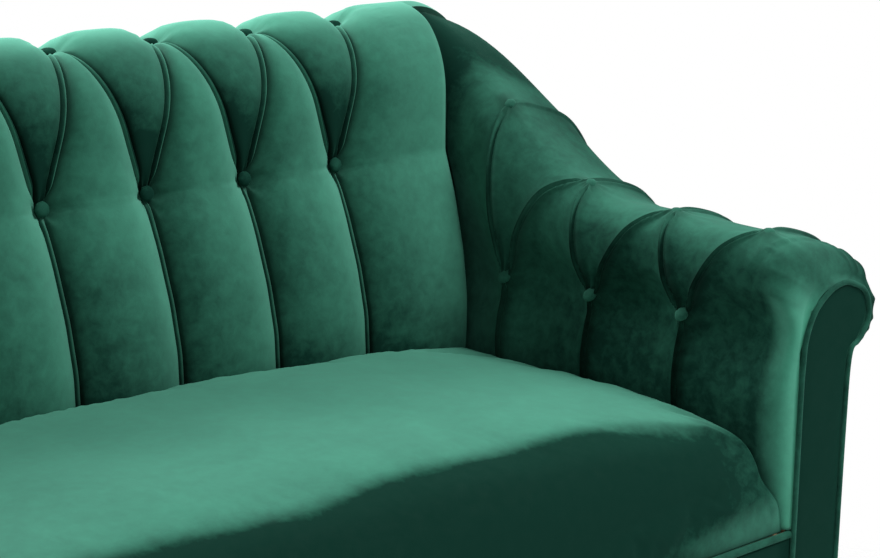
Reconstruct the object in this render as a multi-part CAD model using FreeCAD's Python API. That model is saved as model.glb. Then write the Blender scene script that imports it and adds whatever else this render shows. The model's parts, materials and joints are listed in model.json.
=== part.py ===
import FreeCAD, Part
import math
import os
from collections import namedtuple

Vector = FreeCAD.Vector
Placement = FreeCAD.Placement
Rotation = FreeCAD.Rotation

# A three-seat chesterfield sofa, in millimetres. X runs along the sofa, Y from front to back, Z up.
# Most places are given from the seat: "out" is the distance outwards from the seat's side,
# "deep" is the distance behind the line where the seat meets the back (negative is in front of it),
# and "rise" is the height above the seat's back corner. Right means +X, as seen by someone in front.

# Seat
seat_width = 1640.0
seat_depth = 560.0
seat_height = 435.0
seat_thickness = 157.0
seat_crown = 41.0
seat_front_crown = 53.0
seat_front_drop = 28.0
seat_front_round = 90.0
seat_front_swell = 9.0
seat_front_setback = 4.0
seat_round_sag = 8.0
seat_front_sag = 20.0
seat_crown_power = 2.6
seat_section_shares = (0.0, 0.4, 0.75, 1.0)
seat_side_margin = 2.0
seat_back_margin = 10.0

# Back pad
back_columns = 10
back_end_margin = 20.0
back_button_rise = 266.0
back_lean = 62.0
roll_centre_deep = 157.0
roll_centre_rise = 355.0
roll_radius = 95.0
roll_end_angle = -46.0
tuft_angle = 92.0
button_sink = 3.0
roll_core_radius = 46.0
back_pad_foot = 40.0
back_core_foot = 60.0
core_head_drop = 16.0
pleat_tuck = 8.0
tuft_fullness = 2.4
tuft_stations = (0.0, 0.1, 0.27, 0.5, 0.73, 0.9)
back_crown = 30.0
back_foot_crown = 9.0
back_face_crowns = ((0.12, 0.5), (0.5, 0.8))
roll_rear_crowns = ((58.0, 0.85), (25.0, 0.6), (-8.0, 0.35), (roll_end_angle, 0.1))
crest_crown = 22.0

# Arms
arm_tuft_pitch = 154.0
arm_first_tuft = 72.0
arm_tuft_count = 4
arm_button_pitch = 161.0
arm_first_button = 166.0
arm_roll_out = 240.0
arm_panel_out = 151.0
arm_panel_top = 44.0
panel_foot_out = 134.0
arm_core_out = 50.0
arm_rail_out = 54.0
arm_rail_rise = 38.0
arm_button_rise = 100.0
arm_tuft_rise = 212.0
facing_roll_edge = 6.0
nose_reach = 45.0
arm_core_places = (120.0, -40.0, -200.0)
cutting_margin = 25.0
arm_roll_lift = 212.0
arm_slope = 0.04
arm_lift_start = -250.0
arm_lift_run = 460.0
climb_steps = 20
mitre_inner_out = 40.0
mitre_inner_deep = 154.0

# Facings and welts
facing_thickness = 12.0
facing_welt_radius = 3.6
front_welt_radius = 5.0
front_welt_setback = 1.0
apron_out = 40.0
apron_drop = 4.0
welt_sides = 6

# Timber frame
frame_bottom = 145.0
board_thickness = 25.0
board_inset = 1.0
rail_thickness = 30.0
side_rail_out = 88.0
rear_rail_deep = 128.0
post_depth = 50.0
stile_width = 40.0
stile_places = (-292.0, -62.0)
stile_setback = 4.0
arm_tack_rail_lift = 24.0
stretcher_offset = 450.0
upright_count = 5
stretcher_drop = 18.0
corner_block_leg = 70.0
corner_block_height = 60.0
crest_rail_height = 60.0
crest_rail_round = 12.0
crest_rail_setback = 1.5
crest_rail_lift = 30.0
arm_rail_width = 90.0
arm_rail_thickness = 28.0
tack_margin = 6.0
tack_rail_height = 26.0

# Webbing, hessian, cloth panels and foam
webbing_width = 50.0
webbing_thickness = 2.2
hessian_thickness = 1.4
seat_webs = 12
seat_cross_webs = 4
back_webs = 11
arm_webs = 4
arm_web_margin = 40.0
cross_web_front = 60.0
cross_web_span = 340.0
back_sheet_drop = 32.0
web_shyness = 30.0
panel_thickness = 6.0
foam_side_margin = 45.0
foam_top_margin = 38.0
dust_cover_thickness = 1.0
dust_cover_margin = 4.0

# Buttons
button_radius = 10.5
button_height = 8.0
button_sides = 10
button_dome = ((1.0, 0.0), (0.84, 0.68), (0.4, 1.0))
button_pocket_depth = 40.0

# Legs
leg_centre_out = 85.0
front_leg_setback = 70.0
rear_leg_setback = 22.0
leg_top_radius = 32.0
leg_neck_radius = 19.0
leg_bulge_radius = 30.0
leg_foot_radius = 16.0
leg_cap_height = 12.0
leg_neck_height = 9.0
leg_plate_size = 96.0
leg_plate_thickness = 3.0
leg_plate_margin = 1.0
glide_height = 5.0
glide_radius = 14.0

# Gaps
cloth_gap = 0.3
wood_gap = 0.2
button_gap = 0.4

seat_side = seat_width / 2
back_pitch = (seat_width - 2 * back_end_margin) / back_columns
rail_bottom_rise = frame_bottom - seat_height
seat_lift = 2 * webbing_thickness + hessian_thickness
rail_top_rise = -seat_thickness - seat_lift - wood_gap
arm_tack_rail_foot = rail_top_rise + arm_tack_rail_lift
front_deep = -seat_depth
board_front_deep = front_deep + facing_thickness
board_back_deep = board_front_deep + board_thickness
side_rail_outer = side_rail_out + rail_thickness
post_back_deep = rear_rail_deep + post_depth
back_panel_deep = roll_centre_deep + roll_radius * math.cos(math.radians(roll_end_angle))
roll_rear_deep = roll_centre_deep + roll_radius
mitre_slope = (arm_roll_out - mitre_inner_out) / (roll_rear_deep - mitre_inner_deep)
roll_core_front = roll_centre_deep - roll_core_radius
back_core_slope = (roll_core_front - back_core_foot) / (roll_centre_rise - core_head_drop + back_pad_foot)
crest_rail_front = roll_core_front + crest_rail_setback
crest_rail_top = roll_centre_rise + crest_rail_lift
back_sheet_top = roll_centre_rise - back_sheet_drop
back_sheet_foot = -back_pad_foot + 1.0
seat_web_pitch = (seat_width - 2 * webbing_width) / (seat_webs - 1)
arm_web_rear = rear_rail_deep - web_shyness
arm_web_first = board_back_deep + arm_web_margin
panel_slope = (arm_panel_out - panel_foot_out) / (arm_panel_top - rail_bottom_rise)
front_leg_deep = front_deep + front_leg_setback
rear_leg_deep = rear_rail_deep + rear_leg_setback
sofa_front_deep = front_deep - 2 * facing_welt_radius - wood_gap
sofa_rear_deep = roll_rear_deep + 0.3 * crest_crown

Level = namedtuple("Level", "outer inner crown spread buttons", defaults=("",))
BackPoint = namedtuple("BackPoint", "deep rise")
ArmPoint = namedtuple("ArmPoint", "out rise lift")


def place(out, deep, rise):
    """A point beside the right arm, measured from the seat's side and back corner."""
    return Vector(seat_side + out, deep, seat_height + rise)


def block(x0, x1, deep0, deep1, rise0, rise1):
    """A straight block between two corners, with its height measured from the seat's corner."""
    return Part.makeBox(x1 - x0, deep1 - deep0, rise1 - rise0, Vector(x0, deep0, seat_height + rise0))


def arm_block(out0, out1, deep0, deep1, rise0, rise1):
    """A straight block beside the right arm."""
    return block(seat_side + out0, seat_side + out1, deep0, deep1, rise0, rise1)


def mirrored(shape):
    """The same piece on the other side of the sofa."""
    return shape.mirror(Vector(0, 0, 0), Vector(1, 0, 0))


def both_sides(shapes):
    """A group of pieces from the right side, together with their mirror images."""
    return Part.makeCompound(list(shapes) + [mirrored(shape) for shape in shapes])


def rounded_path(points, radii):
    """Straight runs joined by tangent arcs; radii holds one value for each inner point."""
    edges = []
    start = points[0]
    for index, radius in enumerate(radii, 1):
        before, corner, after = points[index - 1], points[index], points[index + 1]
        back = (before - corner).normalize()
        ahead = (after - corner).normalize()
        half_turn = back.getAngle(ahead) / 2
        reach = radius / math.tan(half_turn)
        first = corner + back * reach
        last = corner + ahead * reach
        middle = corner + (back + ahead).normalize() * (radius / math.sin(half_turn) - radius)
        edges.append(Part.makeLine(start, first))
        edges.append(Part.Arc(first, middle, last).toShape())
        start = last
    edges.append(Part.makeLine(start, points[-1]))
    return edges


def smooth_step(value):
    """Zero below 0, one above 1, and an even S between."""
    value = min(max(value, 0.0), 1.0)
    return value * value * (3 - 2 * value)


def arm_lift(deep):
    """How far the arm's roll stands above its height at the front."""
    climb = smooth_step((deep - arm_lift_start) / arm_lift_run)
    return arm_slope * (deep - front_deep) + arm_roll_lift * climb


# Tufted pads

def tuft_run(places, crown, pitch, direction, point):
    """Points along one level of a pad, which swells from each pleat to a crown and back."""
    run = []
    for start, end in zip(places, places[1:]):
        height = crown * min(1.0, (end - start) / pitch)
        for share in tuft_stations:
            swell = height * (1 - abs(2 * share - 1) ** tuft_fullness)
            run.append(point(start + share * (end - start)) + direction * swell)
    return run + [point(places[-1])]


def pad_solid(sections):
    """The solid between a pad's sections, stitched from one to the next with flat triangles."""
    faces = [Part.Face(Part.makePolygon(section + [section[0]])) for section in (sections[0], sections[-1])]
    for low, high in zip(sections, sections[1:]):
        corners = list(zip(low, low[1:] + low[:1], high[1:] + high[:1], high))
        for a, b, c, d in corners:
            if (a - c).Length < (b - d).Length:
                a, b, c, d = b, c, d, a
            faces.append(Part.Face(Part.makePolygon([a, b, d, a])))
            faces.append(Part.Face(Part.makePolygon([b, c, d, b])))
    shell = Part.makeShell(faces)
    shell.sewShape()
    return Part.makeSolid(shell)


def pleat_places(buttons, tufts, spread, low_end, high_end):
    """Where the pleats cross a level: one valley at each button, opening to the tufts beside it."""
    half_tuck = pleat_tuck / 2
    places = [low_end]
    for button, before, after in zip(buttons, tufts, tufts[1:]):
        places.append(button - half_tuck + spread * (before - button + pleat_tuck))
        places.append(button + half_tuck + spread * (after - button - pleat_tuck))
    return places + [high_end]


def on_roll(radius, angle):
    """A point of the back's roll, with the angle counted from the rear, over the top."""
    return BackPoint(roll_centre_deep + radius * math.cos(math.radians(angle)),
                     roll_centre_rise + radius * math.sin(math.radians(angle)))


def back_core(rise):
    """The flat rear face of the back pad below the roll, where the hessian lies."""
    return BackPoint(back_core_foot + (rise + back_pad_foot) * back_core_slope, rise)


def back_levels():
    """The back pad's sections, from its foot up the face and round the roll to the rear."""
    straight = roll_centre_rise - back_button_rise
    whole = straight + roll_radius * math.radians(180.0 - tuft_angle)
    levels = [Level(BackPoint(-1.0, -back_pad_foot), back_core(-back_pad_foot), back_foot_crown, 0.0)]
    for share, crown_share in back_face_crowns:
        rise = share * back_button_rise
        line = BackPoint(share * back_lean, rise)
        levels.append(Level(line, back_core(rise), crown_share * back_crown, 0.0))
    levels.append(Level(BackPoint(back_lean + button_sink, back_button_rise),
                        back_core(back_button_rise), back_crown, 0.0, "lower"))
    climb = 180.0 - tuft_angle
    for step in range(4):
        angle = 180.0 - climb * step / 3
        spread = (straight + roll_radius * math.radians(climb) * step / 3) / whole
        crown = back_crown + (crest_crown - back_crown) * step / 3
        row = "upper" if spread == 1 else ""
        line, core = on_roll(roll_radius, angle), on_roll(roll_core_radius, angle)
        levels.append(Level(line, core, crown, spread, row))
    for angle, share in roll_rear_crowns:
        levels.append(Level(on_roll(roll_radius, angle), on_roll(roll_core_radius, angle),
                            crest_crown * share, 1.0))
    return levels


def back_buttons():
    """Distances along X of the lower row of buttons."""
    count = back_columns - 1
    return [(index - (count - 1) / 2) * back_pitch for index in range(count)]


def back_tufts():
    """Distances along X of the upper row of tufts."""
    return [(index - (back_columns - 1) / 2) * back_pitch for index in range(back_columns)]


def mitre_out(deep):
    """How far out the back pad reaches at a depth: the seam in the corner runs out to the rear."""
    if deep < mitre_inner_deep:
        return mitre_inner_out * deep / mitre_inner_deep
    return mitre_inner_out + mitre_slope * (deep - mitre_inner_deep)


def back_zone(gap):
    """The space behind the corner seams, as a prism over the plan."""
    half_gap = gap / 2
    far = roll_rear_deep + 2 * roll_radius
    right = [
        Vector(seat_side - half_gap, -2 * cutting_margin, 0),
        Vector(seat_side - half_gap, 0.0, 0),
        Vector(seat_side + mitre_inner_out - half_gap, mitre_inner_deep + half_gap, 0),
        Vector(seat_side + mitre_out(far) - half_gap, far + half_gap, 0),
    ]
    left = [Vector(-point.x, point.y, point.z) for point in reversed(right)]
    face = Part.Face(Part.makePolygon(right + left + [right[0]]))
    return face.extrude(Vector(0, 0, 2 * seat_height + roll_centre_rise))


def back_pad():
    """The tufted back: channels from the seat to the buttons, diamonds above, folds over the roll."""
    sections = []
    for level in back_levels():
        end = seat_side + mitre_out(level.outer.deep) + cutting_margin
        line = Vector(0, level.outer.deep, seat_height + level.outer.rise)
        core = Vector(0, level.inner.deep, seat_height + level.inner.rise)
        places = pleat_places(back_buttons(), back_tufts(), level.spread, -end, end)
        outer = tuft_run(places, level.crown, back_pitch, (line - core).normalize(),
                         lambda x: line + Vector(x, 0, 0))
        inner = [core + Vector(end, 0, 0), core - Vector(end, 0, 0)]
        sections.append(outer + inner)
    pad = pad_solid(sections).common(back_zone(cloth_gap)).cut(crest_rail(cloth_gap))
    seats = back_seats(back_buttons(), "lower") + back_seats(back_tufts(), "upper")
    return pad.cut(Part.makeCompound(seated(button_pocket(), seats)))


def arm_levels():
    """The arm pad's sections at the front, from its foot up the inner face and over the scroll."""
    scroll = arm_roll_out
    core = arm_core_out
    foot = rail_top_rise + cloth_gap + seat_lift
    return [
        Level(ArmPoint(24.0, foot, 0.0), ArmPoint(core, foot, 0.0), 1.0, 0.0),
        Level(ArmPoint(6.0, -12.0, 0.0), ArmPoint(core, -12.0, 0.0), 6.0, 0.0),
        Level(ArmPoint(8.0, 45.0, 0.0), ArmPoint(core, 30.0, 0.0), 18.0, 0.0),
        Level(ArmPoint(20.0, arm_button_rise, 0.0), ArmPoint(core, 75.0, 0.0), 28.0, 0.0, "lower"),
        Level(ArmPoint(4.0, 150.0, 0.45), ArmPoint(core, 104.0, 0.8), 20.0, 0.33),
        Level(ArmPoint(20.0, 195.0, 0.8), ArmPoint(core + 22.0, 126.0, 0.9), 15.0, 0.66),
        Level(ArmPoint(68.0, arm_tuft_rise, 1.0), ArmPoint(108.0, 142.0, 1.0), 12.0, 1.0, "upper"),
        Level(ArmPoint(135.0, 208.0, 1.0), ArmPoint(135.0, 146.0, 1.0), 11.0, 1.0),
        Level(ArmPoint(scroll - 45.0, 178.0, 1.0), ArmPoint(165.0, 136.0, 1.0), 9.0, 1.0),
        Level(ArmPoint(scroll - 6.0, 120.0, 1.0), ArmPoint(178.0, 110.0, 1.0), 6.0, 1.0),
        Level(ArmPoint(scroll - 18.0, 72.0, 1.0), ArmPoint(170.0, 86.0, 1.0), 3.0, 1.0),
        Level(ArmPoint(arm_panel_out, 47.0, 1.0), ArmPoint(arm_panel_out, 66.0, 1.0), 0.5, 1.0),
    ]


def arm_tufts():
    """Depths of the tufts along the top of the arm, front first."""
    return [front_deep + arm_first_tuft + index * arm_tuft_pitch for index in range(arm_tuft_count)]


def arm_buttons():
    """Depths of the buttons on the arm's inner face, each between two tufts."""
    first = front_deep + arm_first_button
    return [first + index * arm_button_pitch for index in range(arm_tuft_count - 1)]


def outward(level):
    """The direction out of the arm pad at one level of its outline."""
    outer, inner = level.outer, level.inner
    return Vector(outer.out - inner.out, 0, outer.rise - inner.rise).normalize()


def arm_point(point, deep):
    """A point of the arm's outline, carried back along the arm."""
    return place(point.out, deep, point.rise + point.lift * arm_lift(deep))


def arm_pad():
    """The tufted right arm: channels, diamonds and folds over the scroll, drawn in at the facing."""
    front = front_deep + facing_welt_radius
    rear = roll_rear_deep + cutting_margin
    sections = []
    for level in arm_levels():
        direction = outward(level)
        padding = (arm_point(level.outer, front) - arm_point(level.inner, front)).Length

        def point(deep):
            near = max(0.0, 1 - (deep - front) / nose_reach)
            drawn_in = (padding - facing_roll_edge) * (1 - math.sqrt(1 - near * near))
            return arm_point(level.outer, deep) - direction * drawn_in

        places = pleat_places(arm_buttons(), arm_tufts(), level.spread, front, rear)
        outer = tuft_run(places, level.crown, arm_tuft_pitch, direction, point)
        inner = [arm_point(level.inner, deep) for deep in (rear, *arm_core_places, front)]
        sections.append(outer + inner)
    pad = pad_solid(sections).cut(back_zone(-cloth_gap))
    board = facing_prism(front_deep - cutting_margin, board_back_deep, cloth_gap)
    for piece in (board, crest_rail(cloth_gap), back_post(cloth_gap), arm_top_rail(cloth_gap)):
        pad = pad.cut(piece)
    seats = arm_seats(arm_buttons(), "lower") + arm_seats(arm_tufts(), "upper")
    return pad.cut(Part.makeCompound(seated(button_pocket(), seats)))


def button_ring(radius, height):
    """One level of a button's outline, with few sides because there are many buttons."""
    turns = [2 * math.pi * index / button_sides for index in range(button_sides)]
    points = [Vector(radius * math.cos(turn), radius * math.sin(turn), height) for turn in turns]
    return Part.makePolygon(points + [points[0]])


def covered_button():
    """A domed button, covered in the sofa's cloth."""
    rings = [button_ring(width * button_radius, height * button_height + button_gap)
             for width, height in button_dome]
    return Part.makeLoft(rings, True, True)


def button_pocket():
    """The well in the padding that a button sits in."""
    return Part.Face(button_ring(button_radius + cloth_gap, 0.0)).extrude(Vector(0, 0, button_pocket_depth))


def seated(shape, seats):
    """Copies of a shape, one on each seat."""
    copies = []
    for seat in seats:
        copy = shape.copy()
        copy.Placement = seat
        copies.append(copy)
    return copies


def back_seats(places, row):
    """Where the buttons of one row sit in the back pad."""
    level = next(level for level in back_levels() if level.buttons == row)
    direction = Vector(0, level.outer.deep - level.inner.deep, level.outer.rise - level.inner.rise)
    turn = Rotation(Vector(0, 0, 1), direction.normalize())
    return [Placement(Vector(x, level.outer.deep, seat_height + level.outer.rise), turn) for x in places]


def arm_seats(places, row):
    """Where the buttons of one row sit in the right arm's pad."""
    level = next(level for level in arm_levels() if level.buttons == row)
    turn = Rotation(Vector(0, 0, 1), outward(level))
    return [Placement(arm_point(level.outer, deep), turn) for deep in places]


# Seat

def seat_section(x):
    """The seat's outline from back to front at one place along the sofa."""
    share = 1 - abs(x / seat_side) ** seat_crown_power
    back_top = seat_crown * share
    front_top = seat_front_crown * share - seat_front_drop
    front_face = front_deep + seat_front_setback
    round_start = front_face + seat_front_round
    middle_deep = (round_start - seat_back_margin) / 2
    points = [
        Vector(x, -seat_back_margin, back_top),
        Vector(x, middle_deep, (back_top + front_top) / 2 + seat_front_drop / 4),
        Vector(x, round_start, front_top),
        Vector(x, front_face + 0.27 * seat_front_round,
               front_top - 0.34 * seat_front_round - seat_round_sag * share),
        Vector(x, front_face - seat_front_swell * share,
               front_top - 1.12 * seat_front_round - seat_front_sag * share),
        Vector(x, front_face, -seat_thickness),
        Vector(x, -seat_back_margin, -seat_thickness),
    ]
    points = [point + Vector(0, 0, seat_height) for point in points]
    return Part.Wire([
        Part.Arc(points[0], points[1], points[2]).toShape(),
        Part.Arc(points[2], points[3], points[4]).toShape(),
        Part.makeLine(points[4], points[5]),
        Part.makeLine(points[5], points[6]),
        Part.makeLine(points[6], points[0]),
    ])


def seat_foam(gap=0.0):
    """The foam block inside the seat."""
    side = seat_side - foam_side_margin + gap
    return block(-side, side, front_deep + foam_side_margin - gap, -foam_side_margin + gap,
                 -seat_thickness, -foam_top_margin + gap)


def seat_pad():
    """The tight seat: crowned in the middle, rounded over at the front, hollow for its foam."""
    side = seat_side - seat_side_margin
    half = [share * side for share in seat_section_shares]
    places = [-x for x in half[:0:-1]] + half
    wires = [seat_section(x) for x in places]
    return Part.makeLoft(wires, True, True).cut(seat_foam(cloth_gap))


# Facings, welts and flat covers

def facing_points(deep):
    """Corners of the scroll-shaped facing, and the radius at each inner corner."""
    outline = [
        (apron_out + board_inset, rail_bottom_rise, 0.0),
        (52.0, 40.0, 160.0),
        (67.0, 149.0, 44.0),
        (196.0, 159.0, 36.0),
        (191.0, 78.0, 19.0),
        (150.0, 58.0, 18.0),
        (panel_foot_out, rail_bottom_rise, 0.0),
    ]
    return [place(out, deep, rise) for out, rise, radius in outline], [row[2] for row in outline[1:-1]]


def facing_wire(deep, grow=0.0):
    """The facing's closed outline at a depth, grown outwards by an amount."""
    points, radii = facing_points(deep)
    wire = Part.Wire(rounded_path(points, radii) + [Part.makeLine(points[-1], points[0])])
    if grow:
        wire = wire.makeOffset2D(grow, 2)
    return wire


def facing_prism(deep0, deep1, grow=0.0):
    """A solid of the facing's outline between two depths."""
    return Part.Face(facing_wire(deep0, grow)).extrude(Vector(0, deep1 - deep0, 0))


def arm_facing():
    """The flat panel that closes the front of the arm."""
    return facing_prism(front_deep, board_front_deep)


def facing_welt():
    """The thin piping round the facing, from its inner foot over the scroll to its outer foot."""
    points, radii = facing_points(front_deep - facing_welt_radius - wood_gap)
    path = Part.Wire(rounded_path(points, radii))
    along = (points[1] - points[0]).normalize()
    across = along.cross(Vector(0, 1, 0))
    corners = []
    for index in range(welt_sides + 1):
        angle = 2 * math.pi * index / welt_sides
        corners.append(points[0] + across * (facing_welt_radius * math.cos(angle))
                       + Vector(0, facing_welt_radius * math.sin(angle), 0))
    return path.makePipeShell([Part.makePolygon(corners)], True, True)


def front_welt():
    """The thick piping between the seat and the front apron."""
    half = seat_side + apron_out
    centre = Vector(-half, front_deep + front_welt_setback,
                    seat_height + rail_top_rise - apron_drop + front_welt_radius)
    return Part.makeCylinder(front_welt_radius, 2 * half, centre, Vector(1, 0, 0))


def front_apron():
    """The padded cover on the front rail."""
    half = seat_side + apron_out
    return block(-half, half, front_deep, board_front_deep - wood_gap, rail_bottom_rise,
                 rail_top_rise - apron_drop)


def lifted_board(out0, out1, deep0, deep1, low, high, low_lift, high_lift, gap=0.0):
    """A board along the arm whose lower and upper edges may follow the arm's climb."""
    stations = [deep0 + (deep1 - deep0) * index / climb_steps for index in range(climb_steps + 1)]
    bottom = [place(out0, deep, low - gap + low_lift * arm_lift(deep)) for deep in stations]
    top = [place(out0, deep, high + gap + high_lift * arm_lift(deep)) for deep in reversed(stations)]
    face = Part.Face(Part.makePolygon(bottom + top + [bottom[0]]))
    return face.extrude(Vector(out1 - out0, 0, 0))


def outside_arm_panel(gap=0.0):
    """The plain cover on the outside of the arm, leaning out like the facing's outer edge."""
    panel = lifted_board(panel_foot_out - panel_thickness - gap, panel_foot_out + gap,
                         board_front_deep + wood_gap - gap, back_panel_deep - panel_thickness - wood_gap,
                         rail_bottom_rise, arm_panel_top, 0.0, 1.0, gap)
    panel.rotate(place(panel_foot_out, 0, rail_bottom_rise), Vector(0, 1, 0),
                 math.degrees(math.atan(panel_slope)))
    return panel


def outside_back_panel():
    """The plain cover on the back, below the roll."""
    deep = back_panel_deep - panel_thickness
    top_rise = on_roll(roll_radius, roll_end_angle).rise - cloth_gap
    foot = seat_side + panel_foot_out
    top = foot + panel_slope * (top_rise - rail_bottom_rise)
    points = [Vector(-foot, deep, frame_bottom), Vector(foot, deep, frame_bottom),
              Vector(top, deep, seat_height + top_rise), Vector(-top, deep, seat_height + top_rise)]
    return Part.Face(Part.makePolygon(points + [points[0]])).extrude(Vector(0, panel_thickness, 0))


# Timber frame

def front_rail():
    half = seat_side + apron_out
    return block(-half, half, board_front_deep, board_back_deep, rail_bottom_rise, rail_top_rise)


def rear_rail():
    half = seat_side + side_rail_out
    return block(-half, half, rear_rail_deep, rear_rail_deep + rail_thickness,
                 rail_bottom_rise, rail_top_rise)


def side_rail():
    return arm_block(side_rail_out, side_rail_outer, board_back_deep, rear_rail_deep,
                     rail_bottom_rise, rail_top_rise)


def seat_stretchers():
    """Timbers from the front rail to the rear rail, below the webbing."""
    pieces = []
    for x in (-stretcher_offset, 0.0, stretcher_offset):
        pieces.append(block(x - rail_thickness / 2, x + rail_thickness / 2, board_back_deep, rear_rail_deep,
                            rail_bottom_rise, rail_top_rise - stretcher_drop))
    return Part.makeCompound(pieces)


def corner_blocks():
    """Glued triangular blocks in the corners of the seat frame."""
    pieces = []
    for deep, away in ((board_back_deep, 1), (rear_rail_deep, -1)):
        corner = place(side_rail_out, deep, rail_bottom_rise)
        ends = (Vector(-corner_block_leg, 0, 0), Vector(0, away * corner_block_leg, 0))
        points = [corner, corner + ends[0], corner + ends[1]]
        face = Part.Face(Part.makePolygon(points + [corner]))
        pieces.append(face.extrude(Vector(0, 0, corner_block_height)))
    return both_sides(pieces)


def arm_front_board():
    """The scroll-shaped board behind the facing, cut back where the outside panel covers it."""
    return facing_prism(board_front_deep, board_back_deep, -board_inset).cut(outside_arm_panel(wood_gap))


def back_post(gap=0.0):
    return arm_block(side_rail_out - gap, side_rail_outer + gap, rear_rail_deep - gap, post_back_deep + gap,
                     rail_bottom_rise, crest_rail_top + gap)


def crest_rail(gap=0.0):
    """The timber inside the back's roll, between the two posts."""
    half = seat_side + side_rail_out + gap
    rail = block(-half, half, crest_rail_front - gap, post_back_deep + gap,
                 crest_rail_top - crest_rail_height - gap, crest_rail_top + gap)
    long_edges = [edge for edge in rail.Edges if edge.Length > seat_width]
    return rail.makeFillet(crest_rail_round, long_edges)


def back_uprights():
    """Boards between the rear rail and the crest rail."""
    pieces = []
    half = stile_width / 2
    back = rear_rail_deep + rail_thickness
    for index in range(upright_count):
        x = (index - (upright_count - 1) / 2) * 2 * seat_web_pitch
        pieces.append(block(x - half, x + half, rear_rail_deep, back,
                            rail_top_rise, crest_rail_top - crest_rail_height))
    return Part.makeCompound(pieces)


def back_tack_rail():
    """The timber that the foot of the back webbing is tacked to."""
    half = seat_side - tack_margin
    top = -back_pad_foot + tack_margin
    front = back_core(top).deep + 2 * (hessian_thickness + webbing_thickness)
    return block(-half, half, front, rear_rail_deep, top - tack_rail_height, top)


def arm_top_rail(gap=0.0):
    """The plank under the arm's scroll, sawn to the arm's climb."""
    return lifted_board(arm_rail_out - gap, arm_rail_out + arm_rail_width + gap,
                        board_back_deep - gap, rear_rail_deep + gap,
                        arm_rail_rise, arm_rail_rise + arm_rail_thickness, 1.0, 1.0, gap)


def arm_tack_rail():
    return arm_block(arm_rail_out, side_rail_out + stile_setback, board_back_deep, rear_rail_deep,
                     arm_tack_rail_foot, arm_tack_rail_foot + tack_rail_height)


def arm_stiles():
    """Uprights between the side rail and the plank of the arm."""
    pieces = []
    for deep in stile_places:
        pieces.append(arm_block(side_rail_out + stile_setback, side_rail_outer, deep, deep + stile_width,
                                rail_top_rise, arm_rail_rise + arm_lift(deep)))
    return Part.makeCompound(pieces)


# Webbing, hessian and dust cover

def tilted_sheet(x0, x1, low, high, offset, thickness):
    """A strip that lies against the flat rear face of the back pad."""
    points = []
    for rise, shift in ((low, offset), (high, offset), (high, offset + thickness), (low, offset + thickness)):
        points.append(Vector(x0, back_core(rise).deep + shift, seat_height + rise))
    return Part.Face(Part.makePolygon(points + [points[0]])).extrude(Vector(x1 - x0, 0, 0))


def back_hessian():
    half = seat_side - tack_margin
    return tilted_sheet(-half, half, back_sheet_foot, back_sheet_top, wood_gap, hessian_thickness)


def back_webbing():
    """Upright strips from the tack rail to the crest rail."""
    pieces = []
    for index in range(back_webs):
        x = (index - (back_webs - 1) / 2) * (seat_width - 2 * webbing_width) / (back_webs - 1)
        pieces.append(tilted_sheet(x - webbing_width / 2, x + webbing_width / 2, back_sheet_foot,
                                   back_sheet_top, wood_gap + hessian_thickness, webbing_thickness))
    return Part.makeCompound(pieces)


def arm_hessian():
    return lifted_board(arm_core_out + wood_gap, arm_core_out + wood_gap + hessian_thickness,
                        board_back_deep + wood_gap, arm_web_rear, arm_tack_rail_foot, arm_rail_rise,
                        0.0, 1.0)


def arm_webbing():
    """Upright strips from the arm's tack rail to its plank."""
    pieces = []
    front = arm_core_out + wood_gap + hessian_thickness
    pitch = (arm_web_rear - webbing_width - arm_web_first) / (arm_webs - 1)
    for index in range(arm_webs):
        deep = arm_web_first + index * pitch
        pieces.append(arm_block(front, front + webbing_thickness, deep, deep + webbing_width,
                                arm_tack_rail_foot, arm_rail_rise + arm_lift(deep)))
    return Part.makeCompound(pieces)


def seat_webbing():
    """Strips from the front rail to the rear rail."""
    pieces = []
    for index in range(seat_webs):
        x = (index - (seat_webs - 1) / 2) * seat_web_pitch
        pieces.append(block(x - webbing_width / 2, x + webbing_width / 2, board_front_deep + tack_margin,
                            rear_rail_deep + rail_thickness - tack_margin, rail_top_rise,
                            rail_top_rise + webbing_thickness))
    return Part.makeCompound(pieces)


def seat_cross_webbing():
    """Strips from one side rail to the other, over the first ones."""
    pieces = []
    half = seat_side + side_rail_outer - tack_margin
    for index in range(seat_cross_webs):
        deep = board_back_deep + cross_web_front + index * cross_web_span / (seat_cross_webs - 1)
        pieces.append(block(-half, half, deep, deep + webbing_width, rail_top_rise + webbing_thickness,
                            rail_top_rise + 2 * webbing_thickness))
    return Part.makeCompound(pieces)


def seat_hessian():
    half = seat_side + apron_out
    low = rail_top_rise + 2 * webbing_thickness
    return block(-half, half, board_front_deep + 2.0, back_core_foot, low, low + hessian_thickness)


def leg_centres():
    """Where the five legs stand, in plan."""
    side = seat_side + leg_centre_out
    return [(-side, front_leg_deep), (side, front_leg_deep), (-side, rear_leg_deep), (side, rear_leg_deep),
            (0.0, (board_back_deep + rear_rail_deep) / 2)]


def plate_block(x, deep, grow, z0, z1):
    half = leg_plate_size / 2 + grow
    return block(x - half, x + half, deep - half, deep + half, z0 - seat_height, z1 - seat_height)


def dust_cover():
    """The thin black cloth under the frame, cut out round the legs' plates."""
    half = seat_side + panel_foot_out - dust_cover_margin
    cover = block(-half, half, board_front_deep + dust_cover_margin,
                  back_panel_deep - panel_thickness - dust_cover_margin,
                  rail_bottom_rise - dust_cover_thickness, rail_bottom_rise)
    plate_foot = frame_bottom - leg_plate_thickness
    for x, deep in leg_centres():
        cover = cover.cut(plate_block(x, deep, leg_plate_margin, plate_foot, frame_bottom))
    return cover


# Legs

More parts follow.
